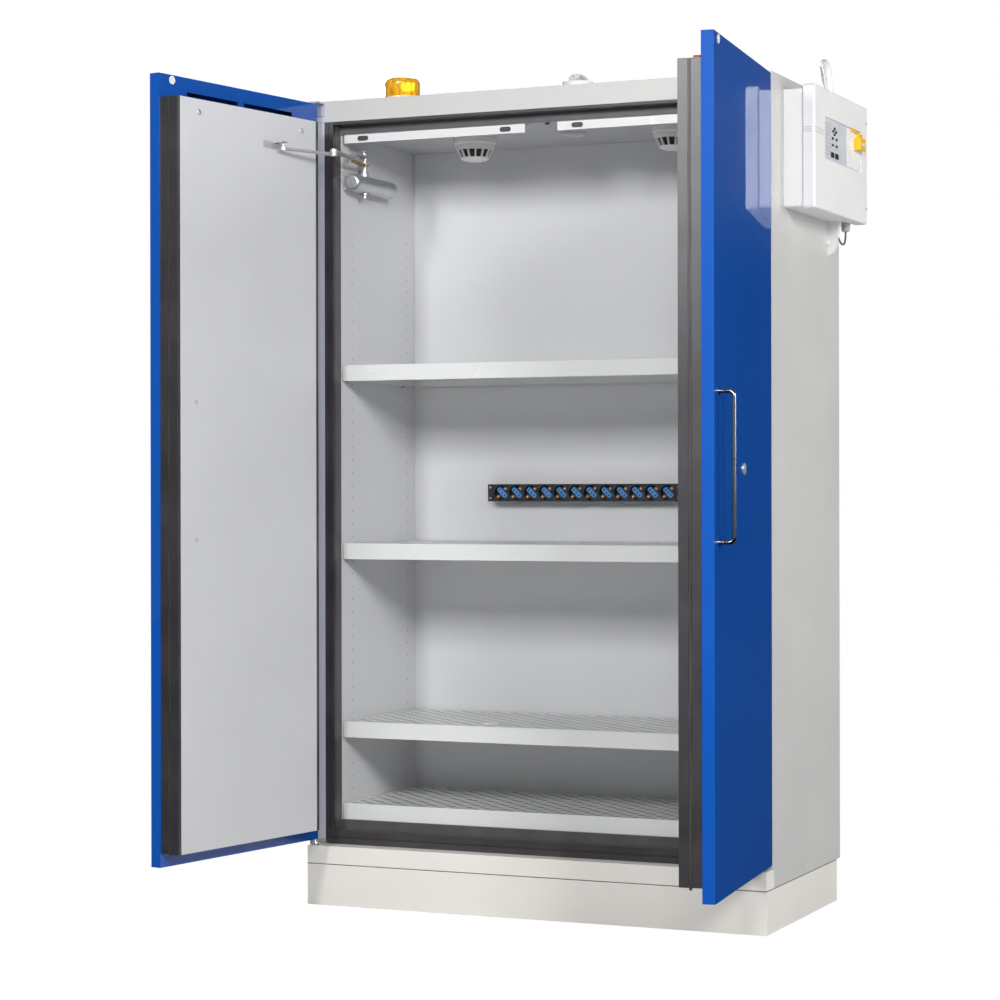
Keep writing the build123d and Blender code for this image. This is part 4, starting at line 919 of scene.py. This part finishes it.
def add_panel_marks():
    """Two fine rings in the left door's inner panel, near its free edge."""
    ring = lathe([
        (2.6 * MM, -0.2 * MM), (5.0 * MM, -0.2 * MM), (4.6 * MM, 0.7 * MM), (3.0 * MM, 0.7 * MM),
        (2.6 * MM, -0.2 * MM)], 24)
    turned = door_frame(-1)
    shapes = []
    for x, z in MARK_PLACES:
        place = turned @ Matrix.Translation((x, PANEL_FACE_Y, z)) @ INWARD
        shapes.append((moved(ring[0], place), ring[1]))
    points, faces = joined(shapes)
    add_piece("panel_marks_left", points, faces, "grey plastic", "left door")


def add_closer_details():
    """Regulating screws on the closers' front ends and caps on their spindles."""
    low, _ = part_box("closer_bodies")
    for side, word in ((-1, "left"), (1, "right")):
        x = side * CLOSER_X
        shapes = []
        head = lathe([(0, 0), (3.2 * MM, 0), (2.8 * MM, 1.0 * MM), (0, 1.2 * MM)], 16)
        for offset in (-7 * MM, 7 * MM):
            place = facing_front(Vector((x + offset, low.y, CLOSER_VALVE_Z)))
            shapes.append((moved(head[0], place), head[1]))
        points, faces = joined(shapes)
        add_piece("closer_valves_" + word, points, faces, "steel", "cabinet")
        cap = lathe([(0, 0), (6.2 * MM, 0), (6.2 * MM, 2.5 * MM), (3.4 * MM, 4.4 * MM), (0, 4.4 * MM)], 20)
        place = Matrix.Translation((x, SPINDLE_Y, SPINDLE_TOP_Z))
        add_piece("closer_cap_" + word, moved(cap[0], place), cap[1], "steel", word + " closer arm")


def add_ceiling_clip():
    """Small dark spring clip between the two ceiling rails."""
    outline = round_rectangle(12 * MM, 5 * MM, 1.5 * MM)
    shape = bevelled_prism(outline, 0, 5 * MM, 1 * MM)
    down = Matrix.Rotation(math.pi, 4, "X")
    place = Matrix.Translation((0.014, -0.205, ceiling_z)) @ down
    add_piece("ceiling_clip", moved(shape[0], place), shape[1], "dark part and recess shade", "cabinet")


def add_plinth_joint():
    """Dark joint between the plinth and the casing, along the front and both sides."""
    base_low, base_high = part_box("base_frame")
    tall = 1.6 * MM
    level = base_high.z - tall / 2
    wide, deep = base_high.x - base_low.x, base_high.y - base_low.y
    middle_y = (base_low.y + base_high.y) / 2
    shapes = []
    for length, place in (
            (wide, facing_front(Vector((0, base_low.y, level)))),
            (deep, facing_x(Vector((base_high.x, middle_y, level)))),
            (deep, facing_x(Vector((base_low.x, middle_y, level))))):
        points, faces = prism(round_rectangle(length, tall, 0.3 * MM, 2), -0.12 * MM, 0.12 * MM)
        shapes.append((moved(points, place), faces))
    points, faces = joined(shapes)
    add_piece("plinth_joint", points, faces, "joint line", "cabinet")


def add_door_buffer():
    """Soft red buffer along the top of the right door's edging, out to its free edge."""
    outline = round_rectangle(46 * MM, 17 * MM, 3 * MM)
    points, faces = bevelled_prism(outline, 0.1 * MM, 5.9 * MM, 1.5 * MM)
    spot = Matrix.Translation((0.030, PAN_BACK_Y + 9.5 * MM, CORE_TOP_Z))
    piece = add_piece("buffer_pad", moved(points, door_frame(1) @ spot), faces, "red rubber", "right door")
    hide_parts("door_buffer")


# ---- stage ----

def add_area_light(name, place, target, size_x, size_y, power):
    data = bpy.data.lights.new(name, "AREA")
    data.shape = "RECTANGLE"
    data.size = size_x
    data.size_y = size_y
    data.energy = power
    lamp = bpy.data.objects.new(name, data)
    lamp.location = place
    lamp.rotation_euler = (Vector(target) - Vector(place)).to_track_quat("-Z", "Y").to_euler()
    bpy.context.scene.collection.objects.link(lamp)


def add_range(node_list, low, high, top=1.0):
    """Map Range node from low..high to 0..top."""
    span = node_list.new("ShaderNodeMapRange")
    span.inputs["From Min"].default_value = low
    span.inputs["From Max"].default_value = high
    span.inputs["To Max"].default_value = top
    return span


def add_grey_ramp(node_list, start, start_grey, end, end_grey):
    ramp = node_list.new("ShaderNodeValToRGB")
    for stop, place, grey in ((0, start, start_grey), (1, end, end_grey)):
        ramp.color_ramp.elements[stop].position = place
        ramp.color_ramp.elements[stop].color = (grey, grey, grey, 1.0)
    return ramp


def set_world():
    """White for the camera and through clear plastic, a faint glow for the rest, dim in gloss.

    Glossy rays see a grey that falls from the front to the rear and rises with height.
    """
    world = bpy.data.worlds.new("studio")
    bpy.context.scene.world = world
    world.use_nodes = True
    node_list, links = world.node_tree.nodes, world.node_tree.links
    node_list.clear()
    output = node_list.new("ShaderNodeOutputWorld")
    white, glow, mirror = [node_list.new("ShaderNodeBackground") for _ in range(3)]
    white.inputs["Color"].default_value = (1.0, 1.0, 1.0, 1.0)
    glow.inputs["Color"].default_value = (0.88, 0.88, 0.88, 1.0)
    glow.inputs["Strength"].default_value = 0.01
    place = node_list.new("ShaderNodeTexCoord")
    split = node_list.new("ShaderNodeSeparateXYZ")
    half = add_range(node_list, -1.0, 1.0)
    lift = add_range(node_list, 0.08, 0.30, 0.12)
    ramp = add_grey_ramp(node_list, 0.30, 0.10, 0.75, 0.006)
    total = node_list.new("ShaderNodeMath")
    path = node_list.new("ShaderNodeLightPath")
    seen = node_list.new("ShaderNodeMath")
    seen.operation = "MAXIMUM"
    first = node_list.new("ShaderNodeMixShader")
    second = node_list.new("ShaderNodeMixShader")
    for source, target in (
            (place.outputs["Generated"], split.inputs["Vector"]),
            (split.outputs["Y"], half.inputs["Value"]),
            (half.outputs["Result"], ramp.inputs["Fac"]),
            (split.outputs["Z"], lift.inputs["Value"]),
            (ramp.outputs["Color"], total.inputs[0]),
            (lift.outputs["Result"], total.inputs[1]),
            (total.outputs["Value"], mirror.inputs["Color"]),
            (path.outputs["Is Glossy Ray"], first.inputs["Fac"]),
            (glow.outputs["Background"], first.inputs[1]),
            (mirror.outputs["Background"], first.inputs[2]),
            (path.outputs["Is Camera Ray"], seen.inputs[0]),
            (path.outputs["Is Transmission Ray"], seen.inputs[1]),
            (seen.outputs["Value"], second.inputs["Fac"]),
            (first.outputs["Shader"], second.inputs[1]),
            (white.outputs["Background"], second.inputs[2]),
            (second.outputs["Shader"], output.inputs["Surface"])):
        links.new(source, target)


def stage_material():
    """Pale floor that reads as the white background to the camera."""
    material = bpy.data.materials.new("stage_floor")
    material.use_nodes = True
    node_list, links = material.node_tree.nodes, material.node_tree.links
    node_list.clear()
    output = node_list.new("ShaderNodeOutputMaterial")
    diffuse = node_list.new("ShaderNodeBsdfDiffuse")
    diffuse.inputs["Color"].default_value = (0.80, 0.80, 0.80, 1.0)
    glow = node_list.new("ShaderNodeEmission")
    glow.inputs["Strength"].default_value = 1.0
    dim = node_list.new("ShaderNodeEmission")
    dim.inputs["Color"].default_value = (0.012, 0.012, 0.012, 1.0)
    path = node_list.new("ShaderNodeLightPath")
    mirrored = node_list.new("ShaderNodeMixShader")
    mix = node_list.new("ShaderNodeMixShader")
    links.new(path.outputs["Is Glossy Ray"], mirrored.inputs["Fac"])
    links.new(diffuse.outputs["BSDF"], mirrored.inputs[1])
    links.new(dim.outputs["Emission"], mirrored.inputs[2])
    links.new(path.outputs["Is Camera Ray"], mix.inputs["Fac"])
    links.new(mirrored.outputs["Shader"], mix.inputs[1])
    links.new(glow.outputs["Emission"], mix.inputs[2])
    links.new(mix.outputs["Shader"], output.inputs["Surface"])
    return material


def add_stage():
    """Floor, world and five soft lamps."""
    half = 12.0
    corners = ((-half, -half), (half, -half), (half, half), (-half, half))
    mesh = bpy.data.meshes.new("floor")
    mesh.from_pydata([(x, y, -1 * MM) for x, y in corners], [], [[0, 1, 2, 3]])
    mesh.materials.append(stage_material())
    floor = bpy.data.objects.new("floor", mesh)
    bpy.context.scene.collection.objects.link(floor)
    set_world()
    target = (0.0, -0.2, 1.05)
    add_area_light("softbox_right", (3.7, -4.0, 2.85), target, 1.0, 1.1, 135.0)
    add_area_light("softbox_front", (1.5, -4.8, 2.95), target, 1.6, 1.1, 88.0)
    add_area_light("softbox_left", (-0.7, -4.8, 2.95), target, 0.35, 1.0, 80.0)
    add_area_light("side_fill", (4.4, 0.6, 2.2), (0.6, 0.0, 1.2), 2.0, 2.0, 88.0)
    add_area_light("rear_fill", (-3.4, 3.6, 2.7), (0.0, 0.2, 1.1), 2.4, 2.4, 250.0)


materials = make_materials()
aim_camera()
add_cords()
dress_nodes(materials)
for sheet_node in ("header_panel", "sill_panel", "base_frame", "side_panels"):
    soften(sheet_node, 0.6 * MM)
for door_node in ("door_pan_left", "door_pan_right"):
    soften(door_node, 1.4 * MM)
add_shelves()
add_hole_columns()
add_detectors()
add_valve_rings()
add_sockets()
add_unit_details()
add_lamp_feet()
add_beacon()
add_signal()
add_door_details()
add_panel_marks()
add_closer_details()
add_ceiling_clip()
add_plinth_joint()
add_door_buffer()
add_stage()
